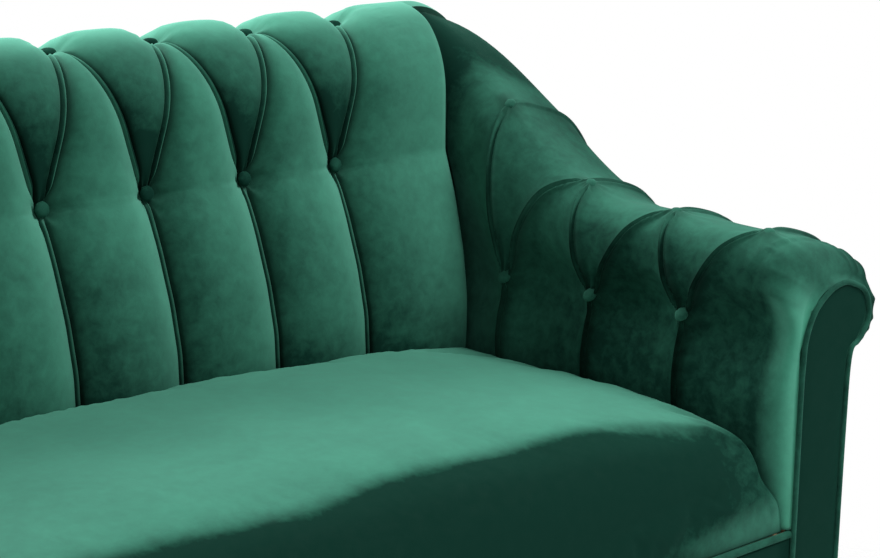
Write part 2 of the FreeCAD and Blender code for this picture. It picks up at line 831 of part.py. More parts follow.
def turned_leg(x, deep):
    """A turned foot: a cap, a neck and a tapered body."""
    top = frame_bottom - leg_plate_thickness
    neck_top = top - leg_cap_height
    body_top = neck_top - leg_neck_height
    axis = Vector(x, deep, 0)
    cap = Part.makeCylinder(leg_top_radius, leg_cap_height, axis + Vector(0, 0, neck_top))
    neck = Part.makeCylinder(leg_neck_radius, leg_neck_height, axis + Vector(0, 0, body_top))
    body = Part.makeCone(leg_foot_radius, leg_bulge_radius, body_top - glide_height,
                         axis + Vector(0, 0, glide_height))
    return cap.fuse([neck, body])


def tapered_leg(x, deep):
    """A plain square foot, tapered downwards."""
    top, foot = leg_top_radius, leg_foot_radius
    tall = frame_bottom - leg_plate_thickness - glide_height
    wedge = Part.makeWedge(-foot, 0, -foot, -top, -top, foot, tall, foot, top, top)
    wedge.rotate(Vector(0, 0, 0), Vector(1, 0, 0), 90)
    wedge.translate(Vector(x, deep, glide_height))
    return wedge


def leg_plates():
    """Steel plates between the legs and the frame."""
    return Part.makeCompound([plate_block(x, deep, 0.0, frame_bottom - leg_plate_thickness, frame_bottom)
                              for x, deep in leg_centres()])


def leg_glides():
    return Part.makeCompound([Part.makeCylinder(glide_radius, glide_height, Vector(x, deep, 0))
                              for x, deep in leg_centres()])


def right_side_pieces():
    """Pieces of the right arm that have a mirror image on the left."""
    return {
        "arm_pad": arm_pad(),
        "arm_facing": arm_facing(),
        "facing_welt": facing_welt(),
        "outside_arm_panel": outside_arm_panel(),
        "side_rail": side_rail(),
        "arm_front_board": arm_front_board(),
        "back_post": back_post(),
        "arm_top_rail": arm_top_rail(),
        "arm_tack_rail": arm_tack_rail(),
        "arm_stiles": arm_stiles(),
        "arm_hessian": arm_hessian(),
        "arm_webbing": arm_webbing(),
    }


def middle_pieces():
    """Pieces that run across the sofa, or stand in groups on both sides."""
    button = covered_button()
    parts = {
        "back_pad": back_pad(),
        "seat_pad": seat_pad(),
        "seat_foam": seat_foam(),
        "front_welt": front_welt(),
        "front_apron": front_apron(),
        "outside_back_panel": outside_back_panel(),
        "front_rail": front_rail(),
        "rear_rail": rear_rail(),
        "seat_stretchers": seat_stretchers(),
        "corner_blocks": corner_blocks(),
        "back_crest_rail": crest_rail(),
        "back_tack_rail": back_tack_rail(),
        "back_uprights": back_uprights(),
        "back_hessian": back_hessian(),
        "back_webbing": back_webbing(),
        "seat_webbing": seat_webbing(),
        "seat_cross_webbing": seat_cross_webbing(),
        "seat_hessian": seat_hessian(),
        "dust_cover": dust_cover(),
        "back_lower_buttons": Part.makeCompound(seated(button, back_seats(back_buttons(), "lower"))),
        "back_upper_buttons": Part.makeCompound(seated(button, back_seats(back_tufts(), "upper"))),
        "arm_lower_buttons": both_sides(seated(button, arm_seats(arm_buttons(), "lower"))),
        "arm_upper_buttons": both_sides(seated(button, arm_seats(arm_tufts(), "upper"))),
        "front_legs": both_sides([turned_leg(seat_side + leg_centre_out, front_leg_deep)]),
        "rear_legs": both_sides([tapered_leg(seat_side + leg_centre_out, rear_leg_deep)]),
        "centre_leg": tapered_leg(0.0, (board_back_deep + rear_rail_deep) / 2),
        "leg_plates": leg_plates(),
        "leg_glides": leg_glides(),
    }
    return parts


def assemble():
    """All pieces by name, with the middle of the sofa's footprint at the origin."""
    parts = middle_pieces()
    for name, shape in right_side_pieces().items():
        parts["right_" + name] = shape
        parts["left_" + name] = mirrored(shape)
    for shape in parts.values():
        shape.translate(Vector(0, -(sofa_front_deep + sofa_rear_deep) / 2, 0))
    return parts


def main():
    os.makedirs("parts", exist_ok=True)
    parts = assemble()
    for name, shape in parts.items():
        shape.exportStep("parts/" + name + ".step")
    box = Part.makeCompound(list(parts.values())).BoundBox
    print("nodes", len(parts), "size", round(box.XLength, 1), round(box.YLength, 1), round(box.ZLength, 1))


main()
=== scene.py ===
import json
import math

import bpy
import numpy as np
from bpy.props import FloatProperty, FloatVectorProperty, IntProperty, PointerProperty
from mathutils import Matrix, Vector


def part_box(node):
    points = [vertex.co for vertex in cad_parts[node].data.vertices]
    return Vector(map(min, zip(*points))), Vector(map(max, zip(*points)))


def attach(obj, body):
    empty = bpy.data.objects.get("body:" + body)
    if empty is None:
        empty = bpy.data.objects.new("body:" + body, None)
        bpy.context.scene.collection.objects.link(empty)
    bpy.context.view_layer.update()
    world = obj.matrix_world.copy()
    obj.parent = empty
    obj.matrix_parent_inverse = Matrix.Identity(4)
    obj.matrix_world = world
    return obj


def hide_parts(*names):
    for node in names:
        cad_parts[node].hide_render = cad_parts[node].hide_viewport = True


bl_info = {
    "name": "Chesterfield sofa upholstery",
    "version": (1, 0, 0),
    "blender": (4, 5, 0),
    "location": "View3D > Sidebar > Sofa",
    "description": "Dresses the frame of a deep-buttoned sofa in velvet, with welts and buttons",
    "category": "Object",
}

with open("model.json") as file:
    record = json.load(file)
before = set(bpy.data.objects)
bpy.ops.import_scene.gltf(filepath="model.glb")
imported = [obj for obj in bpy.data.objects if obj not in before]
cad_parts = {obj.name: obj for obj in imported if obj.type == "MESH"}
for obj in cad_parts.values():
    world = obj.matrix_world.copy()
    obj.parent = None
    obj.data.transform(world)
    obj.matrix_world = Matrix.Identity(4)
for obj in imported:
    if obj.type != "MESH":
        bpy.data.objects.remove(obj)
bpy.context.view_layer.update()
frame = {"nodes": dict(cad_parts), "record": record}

# Places are given as in the frame's drawing: out from the seat's side, deep behind the line where
# the seat meets the back, and rise above the seat's back corner. Sizes are in metres.
SEAT_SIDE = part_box("seat_pad")[1].x + 0.002
SEAT_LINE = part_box("seat_pad")[1].y + 0.010
SEAT_CORNER = 0.435
FRAME_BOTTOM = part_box("front_rail")[0].z

# The plane of the facings in deep, the space between the pads at their seam, and how far the outside
# panels lean out for each metre that they rise.
FRONT = -0.560
SEAM_GAP = 0.0004
LEAN_OUT = 0.0505

# The back's buttons and the tufts above them, across the sofa.
PITCH = 0.160
BUTTONS = (np.arange(9) - 4) * PITCH
TUFTS = (np.arange(10) - 4.5) * PITCH

# The roll on top of the back, in deep and rise, and the angle at which the cloth is tacked behind it.
ROLL_CENTRE = (0.157, 0.355)
ROLL_RADIUS = 0.095
ROLL_END = math.radians(-46)

# The corner seam between back and arm in plan: out and deep at its bend and at its far end.
MITRE = (0.040, 0.154, 0.240, 0.252)

# The arm's tufts and buttons, in deep, and its section as rows of: out, rise, share of the arm's
# climb, swell, and out and rise where the row ends at the facing.
ARM_PITCH = 0.161
ARM_TUFTS = FRONT + 0.072 + 0.154 * np.arange(4)
ARM_BUTTONS = FRONT + 0.166 + ARM_PITCH * np.arange(3)
BUTTON_LEVEL, TUFT_LEVEL = 3, 6
ARM_KEYS = np.array([
    (0.024, -0.1565, 0.00, 0.002, 0.046, -0.1565),
    (0.006, -0.012, 0.00, 0.010, 0.053, -0.012),
    (0.008, 0.045, 0.00, 0.018, 0.055, 0.045),
    (0.020, 0.100, 0.00, 0.026, 0.062, 0.098),
    (0.004, 0.150, 0.45, 0.020, 0.074, 0.124),
    (0.021, 0.196, 0.80, 0.012, 0.092, 0.143),
    (0.068, 0.214, 1.00, 0.0055, 0.120, 0.154),
    (0.133, 0.205, 1.00, 0.0045, 0.145, 0.154),
    (0.192, 0.178, 1.00, 0.0045, 0.175, 0.143),
    (0.234, 0.120, 1.00, 0.006, 0.191, 0.112),
    (0.222, 0.072, 1.00, 0.003, 0.183, 0.084),
    (0.152, 0.047, 1.00, 0.001, 0.154, 0.057),
])

# The inner sides of the hollow pads: rows of out, rise and share of the climb for the arm, and of
# deep and rise for the back.
ARM_CORE = np.array([
    (0.150, 0.064, 1.0), (0.172, 0.086, 1.0), (0.176, 0.112, 1.0), (0.160, 0.134, 1.0), (0.135, 0.146, 1.0),
    (0.108, 0.142, 1.0), (0.072, 0.126, 0.9), (0.051, 0.075, 0.0), (0.051, -0.1565, 0.0),
])
BACK_CORE = np.array([(0.2225, 0.287), (0.190, 0.322), (0.111, 0.335), (0.060, -0.040)])

# The seat's section from its tucked-in back edge over the top to its foot at the front: rows of deep,
# rise, and how far the crown moves the row forward and up in the middle.
SEAT_KEYS = np.array([
    (-0.010, -0.157, 0.000, 0.000), (-0.010, -0.080, 0.000, 0.000), (-0.010, -0.016, 0.000, 0.038),
    (-0.022, -0.002, 0.000, 0.041), (-0.120, -0.003, 0.000, 0.047), (-0.250, -0.006, 0.000, 0.051),
    (-0.385, -0.011, 0.000, 0.052), (-0.474, -0.021, 0.000, 0.050), (-0.520, -0.034, 0.003, 0.044),
    (-0.545, -0.066, 0.006, 0.036), (-0.554, -0.115, 0.009, 0.020), (-0.556, -0.1565, 0.003, 0.000),
])

# The facing's edge round the scroll, and its inner and outer foot, in out and rise.
FACING_KEYS = [
    (0.051, 0.014), (0.054, 0.060), (0.059, 0.094), (0.076, 0.126), (0.105, 0.147), (0.131, 0.154),
    (0.150, 0.152), (0.178, 0.139), (0.189, 0.120), (0.188, 0.096), (0.170, 0.073), (0.152, 0.055),
]
INNER_FOOT = [(0.041, FRAME_BOTTOM - SEAT_CORNER), (0.046, -0.14)]
OUTER_FOOT = [(0.144, -0.05), (0.134, FRAME_BOTTOM - SEAT_CORNER)]

# The level of painted light on the parts that have one value; the lower it is, the deeper their painted
# shade.
FACING_PAINTED_LIGHT, PANEL_PAINTED_LIGHT, BACK_BUTTON_PAINTED_LIGHT, ARM_BUTTON_PAINTED_LIGHT = -0.55, -0.45, -0.12, 0.05

# Half the width of the cut-outs in the bottom cloth, and their middles in x and deep.
CUT_HALF = 0.049
CUT_MIDDLES = [(0.905, -0.490), (-0.905, -0.490), (0.905, 0.150), (-0.905, 0.150), (0.0, -0.1975)]


class SofaCloth(bpy.types.PropertyGroup):
    """Colours of the velvet's painted shade, painted light and painted sheen, and the fineness of its pile.
    """

    # The colour painted where the velvet lies in shade.
    painted_shade_colour: FloatVectorProperty(
        name="Painted shade colour", description="The velvet where shade is painted",
        subtype="COLOR", size=3, min=0, max=1, default=(0.0034, 0.028, 0.019))
    # The colour painted where light falls on the velvet.
    painted_light_colour: FloatVectorProperty(
        name="Painted light colour", description="The velvet where light is painted", subtype="COLOR",
        size=3, min=0, max=1, default=(0.062, 0.300, 0.198))
    # The colour of the painted sheen at grazing angles.
    painted_sheen_colour: FloatVectorProperty(
        name="Painted sheen colour", description="The painted sheen at grazing angles", subtype="COLOR", size=3,
        min=0, max=1, default=(0.210, 0.620, 0.470))
    # The depth of the pile's relief, which is a bump only.
    pile_and_painted_light: FloatProperty(
        name="Pile and painted light", description="Depth of the pile's fine relief", subtype="DISTANCE", unit="LENGTH",
        min=0, max=0.002, default=0.0004)


class SofaPadding(bpy.types.PropertyGroup):
    """How full the buttoned padding is."""

    fullness: FloatProperty(
        name="Fullness", description="How square the padding swells between two pleats", min=1.5, max=5,
        default=3.0)
    back_swell: FloatProperty(
        name="Back swell", description="Height of the back's channels over their pleats",
        subtype="DISTANCE", unit="LENGTH", min=0, max=0.06, default=0.030)
    pleat_depth: FloatProperty(
        name="Pleat depth", description="Depth of the tuck in each pleat", subtype="DISTANCE",
        unit="LENGTH", min=0, max=0.02, default=0.005)
    fold_width: FloatProperty(
        name="Fold width", description="Width of the fold that lies in an open pleat",
        subtype="DISTANCE", unit="LENGTH", min=0, max=0.02, default=0.0085)
    pleat_width: FloatProperty(
        name="Pleat width", description="Width of the bottom of a closed pleat", subtype="DISTANCE",
        unit="LENGTH", min=0.001, max=0.02, default=0.008)
    strip_steps: IntProperty(
        name="Steps across a strip", description="Mesh columns between the edges of two pleats", min=4,
        max=40, default=9)


class SofaTrim(bpy.types.PropertyGroup):
    """Buttons, welts and legs."""

    button_radius: FloatProperty(
        name="Button radius", description="Radius of a covered button", subtype="DISTANCE",
        unit="LENGTH", min=0.005, max=0.03, default=0.0103)
    welt_radius: FloatProperty(
        name="Facing welt radius", description="Radius of the piping round a facing",
        subtype="DISTANCE", unit="LENGTH", min=0.001, max=0.01, default=0.0036)
    front_welt_radius: FloatProperty(
        name="Front welt radius", description="Radius of the piping below the seat",
        subtype="DISTANCE", unit="LENGTH", min=0.001, max=0.01, default=0.0050)
    leg_colour: FloatVectorProperty(
        name="Leg colour", description="Stain of the wooden legs", subtype="COLOR", size=3, min=0,
        max=1, default=(0.045, 0.020, 0.010))


# Shapes

def settings():
    """The three groups of settings, as the panel shows them."""
    scene = bpy.context.scene
    return scene.sofa_cloth, scene.sofa_padding, scene.sofa_trim


def place(out, deep, rise):
    """Arrays of points at the right arm, from distances out, deep and rise."""
    return np.stack(np.broadcast_arrays(SEAT_SIDE + out, SEAT_LINE + deep, SEAT_CORNER + rise), -1)


def smooth_step(value):
    """3t^2 - 2t^3, with t held between 0 and 1."""
    t = np.clip(value, 0, 1)
    return t * t * (3 - 2 * t)


def arm_lift(deep):
    """Height of the arm over its front: a slope of 0.04 and an S of 212 mm over 460 mm of depth."""
    return 0.04 * (deep - FRONT) + 0.212 * smooth_step((deep + 0.25) / 0.46)


def mitre_out(deep):
    """How far out the corner seam is at a depth: two straight runs in plan."""
    near_out, near_deep, far_out, far_deep = MITRE
    slope = (far_out - near_out) / (far_deep - near_deep)
    return np.where(deep < near_deep, near_out * deep / near_deep, near_out + slope * (deep - near_deep))


def mitre_deep(out):
    """How deep the corner seam is at a distance out: the same two runs the other way round."""
    near_out, near_deep, far_out, far_deep = MITRE
    slope = (far_deep - near_deep) / (far_out - near_out)
    return np.where(out < near_out, near_deep * out / near_out, near_deep + slope * (out - near_out))


def curve_weights(keys, steps):
    """Weights of a curve through evenly numbered keys: cubic Hermite runs whose slopes are half the
    step from the key before to the key after. Row r holds the share of each key at step r."""
    at = np.linspace(0, keys - 1, steps)
    first = np.minimum(at.astype(int), keys - 2)
    t = at - first
    shares = [2 * t**3 - 3 * t**2 + 1, -2 * t**3 + 3 * t**2, t**3 - 2 * t**2 + t, t**3 - t**2]
    weights = np.zeros((steps, keys))
    rows = np.arange(steps)
    weights[rows, first] += shares[0]
    weights[rows, first + 1] += shares[1]
    for end, share in ((first, shares[2]), (first + 1, shares[3])):
        weights[rows, np.minimum(end + 1, keys - 1)] += 0.5 * share
        weights[rows, np.maximum(end - 1, 0)] -= 0.5 * share
    return weights


def even_line(points, steps):
    """Points at even distances along a polyline, and how far along it the given points are."""
    points = np.asarray(points, float)
    along = np.concatenate([[0], np.cumsum(np.linalg.norm(np.diff(points, axis=0), axis=1))])
    at = np.linspace(0, along[-1], steps)
    return np.stack([np.interp(at, along, points[:, axis]) for axis in range(points.shape[1])], -1), along


def grid_normals(points):
    """Unit normals of a grid of points: the cross product of its two central differences."""
    down = np.gradient(points, axis=0)
    across = np.gradient(points, axis=1)
    normal = np.cross(across, down)
    return normal / np.maximum(np.linalg.norm(normal, axis=-1, keepdims=True), 1e-12)


def grid_faces(rows, columns, ring=False):
    """Corner numbers of the quads of a grid, closed down its rows when ring is true."""
    row = np.arange(rows if ring else rows - 1)[:, None]
    column = np.arange(columns - 1)[None, :]
    below = (row + 1) % rows
    corners = (row * columns + column, row * columns + column + 1,
               below * columns + column + 1, below * columns + column)
    return np.stack(corners, -1).reshape(-1, 4)


def fan_faces(loop, centre, flip):
    """Triangles from each step of a closed loop to a middle point."""
    after = np.roll(loop, -1)
    middle = np.full_like(loop, centre)
    return np.stack([loop, after, middle] if flip else [after, loop, middle], -1)


def make_mesh(name, points, faces, material, attributes=None):
    """A mesh object at the origin from arrays of points and of faces, with point attributes."""
    mesh = bpy.data.meshes.new(name)
    mesh.from_pydata(np.asarray(points).reshape(-1, 3), [], [f for part in faces for f in part.tolist()])
    for key, values in (attributes or {}).items():
        layer = mesh.attributes.new(key, "FLOAT", "POINT")
        layer.data.foreach_set("value", np.asarray(values, np.float32).ravel())
    mesh.shade_smooth()
    mesh.materials.append(material)
    piece = bpy.data.objects.new(name, mesh)
    bpy.context.scene.collection.objects.link(piece)
    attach(piece, "root")
    return piece


def ring_solid(name, rings, material, attributes=None):
    """A closed solid from a grid whose rows run round a section and whose columns run along the
    piece: quads round the rings, and a fan over each end."""
    rows, columns = rings.shape[:2]
    points = np.concatenate([rings.reshape(-1, 3), rings[:, 0].mean(0)[None], rings[:, -1].mean(0)[None]])
    loop = np.arange(rows) * columns
    count = rows * columns
    faces = [grid_faces(rows, columns, True), fan_faces(loop, count, False),
             fan_faces(loop + columns - 1, count + 1, True)]
    middles = [0.0, 0.0]
    values = {key: np.append(grid, middles) for key, grid in (attributes or {}).items()}
    return make_mesh(name, points, faces, material, values)


def face_outwards(piece):
    """Turns a closed piece's faces outwards when its signed volume is below zero."""
    mesh = piece.data
    co = np.zeros(len(mesh.vertices) * 3)
    mesh.vertices.foreach_get("co", co)
    co = co.reshape(-1, 3)
    mesh.calc_loop_triangles()
    tri = np.zeros(len(mesh.loop_triangles) * 3, int)
    mesh.loop_triangles.foreach_get("vertices", tri)
    a, b, c = (co[tri.reshape(-1, 3)[:, k]] for k in range(3))
    if np.einsum("ij,ij->i", a, np.cross(b, c)).sum() < 0:
        mesh.flip_normals()
    return piece


def swell_cloth(piece, held, pressure, cap):
    """Lets a closed piece's cloth swell under pressure for sixteen frames, held fast where held is
    true, and keeps the result with no point moved further than cap."""
    scene = bpy.context.scene
    mesh = piece.data
    start = np.zeros(len(mesh.vertices) * 3)
    mesh.vertices.foreach_get("co", start)
    group = piece.vertex_groups.new(name="Held")
    group.add(np.flatnonzero(held).tolist(), 1.0, "REPLACE")
    cloth = piece.modifiers.new("Cloth", "CLOTH")
    cloth.settings.quality = 6
    cloth.settings.tension_stiffness = cloth.settings.compression_stiffness = 15
    cloth.settings.bending_stiffness = 0.4
    cloth.settings.use_pressure = True
    cloth.settings.uniform_pressure_force = pressure
    cloth.settings.effector_weights.gravity = 0
    cloth.settings.vertex_group_mass = "Held"
    cloth.settings.shrink_min = -0.012
    cloth.collision_settings.use_collision = False
    for step in range(1, 17):
        scene.frame_set(step)
    shown = piece.evaluated_get(bpy.context.evaluated_depsgraph_get()).data
    end = np.zeros(len(start))
    shown.vertices.foreach_get("co", end)
    move = (end - start).reshape(-1, 3)
    length = np.linalg.norm(move, axis=1, keepdims=True)
    move *= np.minimum(1, cap / np.maximum(length, 1e-9))
    piece.modifiers.remove(cloth)
    piece.vertex_groups.remove(group)
    scene.frame_set(1)
    mesh.vertices.foreach_set("co", start + move.ravel())
    mesh.update()


def mirror_piece(piece, name):
    """The same piece on the left: X turned about, and the faces turned with it."""
    copy = piece.copy()
    copy.data = piece.data.copy()
    copy.name = copy.data.name = name
    co = np.zeros(len(copy.data.vertices) * 3)
    copy.data.vertices.foreach_get("co", co)
    co[0::3] *= -1
    copy.data.vertices.foreach_set("co", co)
    copy.data.flip_normals()
    copy.data.update()
    bpy.context.scene.collection.objects.link(copy)
    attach(copy, "root")
    return copy


def strips(bounds, steps):
    """Columns between pleats: each strip has ten at set distances from either pleat, closer together
    where the strip is narrow, and steps columns between them. bounds has a row for each level; the
    result gives place, share across the strip, its width and its number."""
    low, high = bounds[:, :-1, None], bounds[:, 1:, None]
    width = high - low
    from_pleat = np.array([0, 0.0012, 0.0024, 0.0034, 0.0041, 0.0047, 0.0056, 0.0070, 0.0092, 0.0125])
    near = from_pleat * np.minimum(1, width / 0.05)
    middle = low + near[..., -1:] + (width - 2 * near[..., -1:]) * np.linspace(0, 1, steps + 2)[1:-1]
    at = np.concatenate([low + near, middle, (high - near[..., ::-1])[..., :-1]], -1)
    share = (at - low) / width
    number = np.broadcast_to(np.arange(width.shape[1])[None, :, None], at.shape)
    rows = len(bounds)
    flat = [a.reshape(rows, -1) for a in (at, share, np.broadcast_to(width, at.shape), number)]
    last = [bounds[:, -1:], np.ones((rows, 1)), flat[2][:, -1:], flat[3][:, -1:]]
    return [np.concatenate(pair, 1) for pair in zip(flat, last)]


def swell(share, width, pitch, crown, fold, padding):
    """Height between two pleats: crown (w/pitch)^0.8 (1 - |2t - 1|^fullness), where t is the share
    across beyond the folds. Each pleat holds a cord-like fold, r sqrt(1 - (d/r)^2) high over a
    distance d from it, between two valleys exp(-((d - r)/1.5 mm)^2) deep."""
    near = np.minimum(share, 1 - share) * width
    radius = padding.fold_width / 2 * fold * np.minimum(1, width / 0.03)
    beyond = np.clip((near - radius) / np.maximum(width / 2 - radius, 1e-6), 0, 1)
    body = crown * np.minimum(1, width / pitch) ** 0.8 * (1 - (1 - beyond) ** padding.fullness)
    cord = 0.8 * radius * np.sqrt(np.clip(1 - (near / np.maximum(radius, 1e-6)) ** 2, 0, 1))
    valley = padding.pleat_depth * np.minimum(1, width / 0.012) * np.exp(-(((near - radius) / 0.0015) ** 2))
    # Painted shade in the pleats: exp(-d/6 mm) beyond the fold, and 0.35 of that where the fold stands over
    # 1.2 mm high.
    crease_shade = np.exp(-np.maximum(near - radius, 0) / 0.006) * np.where(cord > 0.0012, 0.35, 1)
    return body + cord - valley, crease_shade


def wrinkles(across, along, seats, seed):
    """Folds that run out from each button: 1.3 mm exp(-(r/48 mm)^2) cos(k a + phase) for two values of
    k; the pull of the button, exp(-(r/19 mm)^2); and a shallow crease across the channels at its
    level, exp(-(x/30 mm)^2 - (y/8 mm)^2)."""
    rng = np.random.default_rng(seed)
    fold = np.zeros_like(across)
    pull = np.zeros_like(across)
    for x, y, strength in seats:
        r = np.hypot(across - x, along - y)
        angle = np.arctan2(along - y, across - x)
        ripple = np.cos(11 * angle + rng.uniform(0, 6.28)) + 0.7 * np.cos(7 * angle + rng.uniform(0, 6.28))
        fold += 0.0013 * strength * np.exp(-((r / 0.048) ** 2)) * ripple * np.minimum(1, r / 0.014)
        fold -= 0.0040 * strength * np.exp(-(((across - x) / 0.030) ** 2) - ((along - y) / 0.008) ** 2)
        pull = np.maximum(pull, np.exp(-((r / 0.019) ** 2)))
    return fold, pull


def pleat_bounds(buttons, tufts, climb, tuck):
    """Where the pleats cross each level: a valley of width tuck at each button, which opens in
    proportion to climb to the tufts on either side."""
    before = buttons - tuck / 2 + climb * (tufts[:-1] - buttons + tuck)
    after = buttons + tuck / 2 + climb * (tufts[1:] - buttons - tuck)
    return np.stack([before, after], -1).reshape(len(climb), -1)


def back_profile(steps):
    """The back's outline in deep and rise, at even steps: swelling from the seat and leaning back to
    the buttons, then upright to the roll, then round its circle to the rear seam, eased by a running
    mean over 24 mm. Also how far along it the two rows are."""
    face = [(-0.001, -0.040), (-0.003, 0.010), (0.000, 0.070), (0.014, 0.133), (0.037, 0.200),
            (0.0655, 0.266), (0.0640, 0.300)]
    angle = np.linspace(math.pi, ROLL_END, 60)
    roll = np.stack([ROLL_CENTRE[0] + ROLL_RADIUS * np.cos(angle),
                     ROLL_CENTRE[1] + ROLL_RADIUS * np.sin(angle)], -1)
    line, along = even_line(np.concatenate([face, roll]), 1200)
    window = round(0.024 / (along[-1] / 1199)) // 2 * 2 + 1
    ends = np.concatenate([np.repeat(line[:1], window // 2, 0), line, np.repeat(line[-1:], window // 2, 0)])
    eased = np.stack([np.convolve(ends[:, k], np.ones(window) / window, "valid") for k in (0, 1)], -1)
    line = even_line(eased, steps)[0]
    button, tuft = along[5], np.interp(-math.radians(92), -angle, along[len(face):])
    return line, along[-1] * np.linspace(0, 1, steps), button, tuft


# Materials

def new_group(name, inputs, outputs):
    """An empty shader node group with named sockets, and its input and output nodes."""
    group = bpy.data.node_groups.new(name, "ShaderNodeTree")
    for way, sockets in (("INPUT", inputs), ("OUTPUT", outputs)):
        for label, kind in sockets.items():
            group.interface.new_socket(label, in_out=way, socket_type="NodeSocket" + kind)
    return group, add(group, "NodeGroupInput").outputs, add(group, "NodeGroupOutput")


def feed(tree, node, inputs):
    """Links a node's sockets to the outputs given for them, and sets the others to the values given."""
    for key, value in inputs.items():
        if isinstance(value, bpy.types.NodeSocket):
            tree.links.new(value, node.inputs[key])
        else:
            node.inputs[key].default_value = value


def add(tree, kind, inputs=None, **values):
    """A new node, with its plain values and its sockets set or linked."""
    node = tree.nodes.new(kind)
    for key, value in values.items():
        setattr(node, key, value)
    feed(tree, node, inputs or {})
    return node


def mix_colour(tree, blend, factor, a, b):
    """Two colours mixed or multiplied; on a colour mix, sockets 0, 6 and 7 are Factor, A and B."""
    node = add(tree, "ShaderNodeMix", {0: factor, 6: a, 7: b}, data_type="RGBA", blend_type=blend)
    return node.outputs[2]


def noise(tree, where, scale, **sockets):
    """The value of a noise texture."""
    return add(tree, "ShaderNodeTexNoise", {"Vector": where, "Scale": scale, **sockets}).outputs["Fac"]


def combine(tree, operation, *values, clamp=False):
    """The result of one sum on two or three values."""
    node = add(tree, "ShaderNodeMath", dict(enumerate(values)), operation=operation, use_clamp=clamp)
    return node.outputs[0]


def spread(tree, value, low, high, to_low, to_high):
    """A value between low and high, carried over to the span from to_low to to_high."""
    return add(tree, "ShaderNodeMapRange", {"Value": value, "From Min": low, "From Max": high,
                                            "To Min": to_low, "To Max": to_high}).outputs["Result"]


def tone_and_painted_light_group():
    """Velvet tone with painted light and shade. The sum of two noises, in patches of about 11 and 2 cm,
    times 0.24 and added to the painted light level, mixes the painted shade colour with the painted
    light colour; the painted crease shade multiplies it down. A fine grain is the height."""
    if "Velvet tone and painted light" in bpy.data.node_groups:
        return bpy.data.node_groups["Velvet tone and painted light"]
    group, given, result = new_group(
        "Velvet tone and painted light",
        {"Vector": "Vector", "Deep": "Color", "Light": "Color", "Crease shade": "Float", "Pile and painted light": "Float"},
        {"Color": "Color", "Height": "Float", "Roughness": "Float"})
    where = given["Vector"]
    broad = noise(group, where, 9.0, Detail=4.0, Roughness=0.6, Distortion=0.6)
    patch = noise(group, where, 60.0, Detail=5.0, Roughness=0.65, Distortion=0.3)
    grain = noise(group, where, 900.0, Detail=2.0)
    cloudy = spread(group, combine(group, "ADD", broad, patch), 0.7, 1.3, 0.1, 1.2)
    painted_light_level = combine(group, "MULTIPLY_ADD", cloudy, 0.24, given["Pile and painted light"], clamp=True)
    colour = mix_colour(group, "MIX", painted_light_level, given["Deep"], given["Light"])
    # Painted shade in creases: the colour is multiplied towards dark green where the crease shade is high.
    dark = mix_colour(group, "MULTIPLY", given["Crease shade"], colour, (0.10, 0.16, 0.14, 1))
    rough = spread(group, patch, 0.3, 0.7, 0.72, 0.92)
    feed(group, result, {"Color": dark, "Height": grain, "Roughness": rough})
    return group


def grain_group():
    """Wood grain: a noise stretched twelve times along Z, mixing two colours."""
    if "Wood grain" in bpy.data.node_groups:
        return bpy.data.node_groups["Wood grain"]
    group, given, result = new_group("Wood grain", {"Vector": "Vector", "Dark": "Color", "Light": "Color"},
                                     {"Color": "Color", "Height": "Float"})
    stretch = add(group, "ShaderNodeMapping", {"Vector": given["Vector"], "Scale": (30.0, 30.0, 2.5)})
    streak = noise(group, stretch.outputs["Vector"], 3.0, Detail=6.0, Distortion=1.2)
    colour = mix_colour(group, "MIX", streak, given["Dark"], given["Light"])
    feed(group, result, {"Color": colour, "Height": streak})
    return group


def weave_group():
    """Woven threads: waves along X times waves along Y, or waves along Z where those are higher, mixing
    two colours."""
    if "Weave" in bpy.data.node_groups:
        return bpy.data.node_groups["Weave"]
    group, given, result = new_group(
        "Weave", {"Vector": "Vector", "Scale": "Float", "Dark": "Color", "Light": "Color"},
        {"Color": "Color", "Height": "Float"})
    waves = {"Vector": given["Vector"], "Scale": given["Scale"], "Distortion": 0.6, "Detail": 2.0}
    threads = [add(group, "ShaderNodeTexWave", waves, bands_direction=axis).outputs["Fac"] for axis in "XYZ"]
    height = combine(group, "MAXIMUM", combine(group, "MULTIPLY", *threads[:2]), threads[2])
    colour = mix_colour(group, "MIX", height, given["Dark"], given["Light"])
    feed(group, result, {"Color": colour, "Height": height})
    return group


def specks_group():
    """Fine specks: a noise that mixes two colours and moves the roughness by up to a tenth."""
    if "Fine specks" in bpy.data.node_groups:
        return bpy.data.node_groups["Fine specks"]
    group, given, result = new_group(
        "Fine specks",
        {"Vector": "Vector", "Scale": "Float", "Dark": "Color", "Light": "Color", "Roughness": "Float"},
        {"Color": "Color", "Roughness": "Float"})
    specks = noise(group, given["Vector"], given["Scale"], Detail=4.0)
    rougher = combine(group, "MULTIPLY_ADD", specks, 0.2, combine(group, "SUBTRACT", given["Roughness"], 0.1))
    colour = mix_colour(group, "MIX", specks, given["Dark"], given["Light"])
    feed(group, result, {"Color": colour, "Roughness": rougher})
    return group


def start_material(name):
    """A material with only its shader and output, and the object coordinates that its patterns read."""
    material = bpy.data.materials.new(name)
    material.use_nodes = True
    tree = material.node_tree
    tree.nodes.clear()
    shader = add(tree, "ShaderNodeBsdfPrincipled")
    add(tree, "ShaderNodeOutputMaterial", {"Surface": shader.outputs["BSDF"]}, is_active_output=True)
    return material, tree, shader, add(tree, "ShaderNodeTexCoord").outputs["Object"]


def relief(tree, height, distance, strength):
    """A bump's normal."""
    bump = add(tree, "ShaderNodeBump", {"Height": height, "Distance": distance, "Strength": strength})
    return bump.outputs["Normal"]


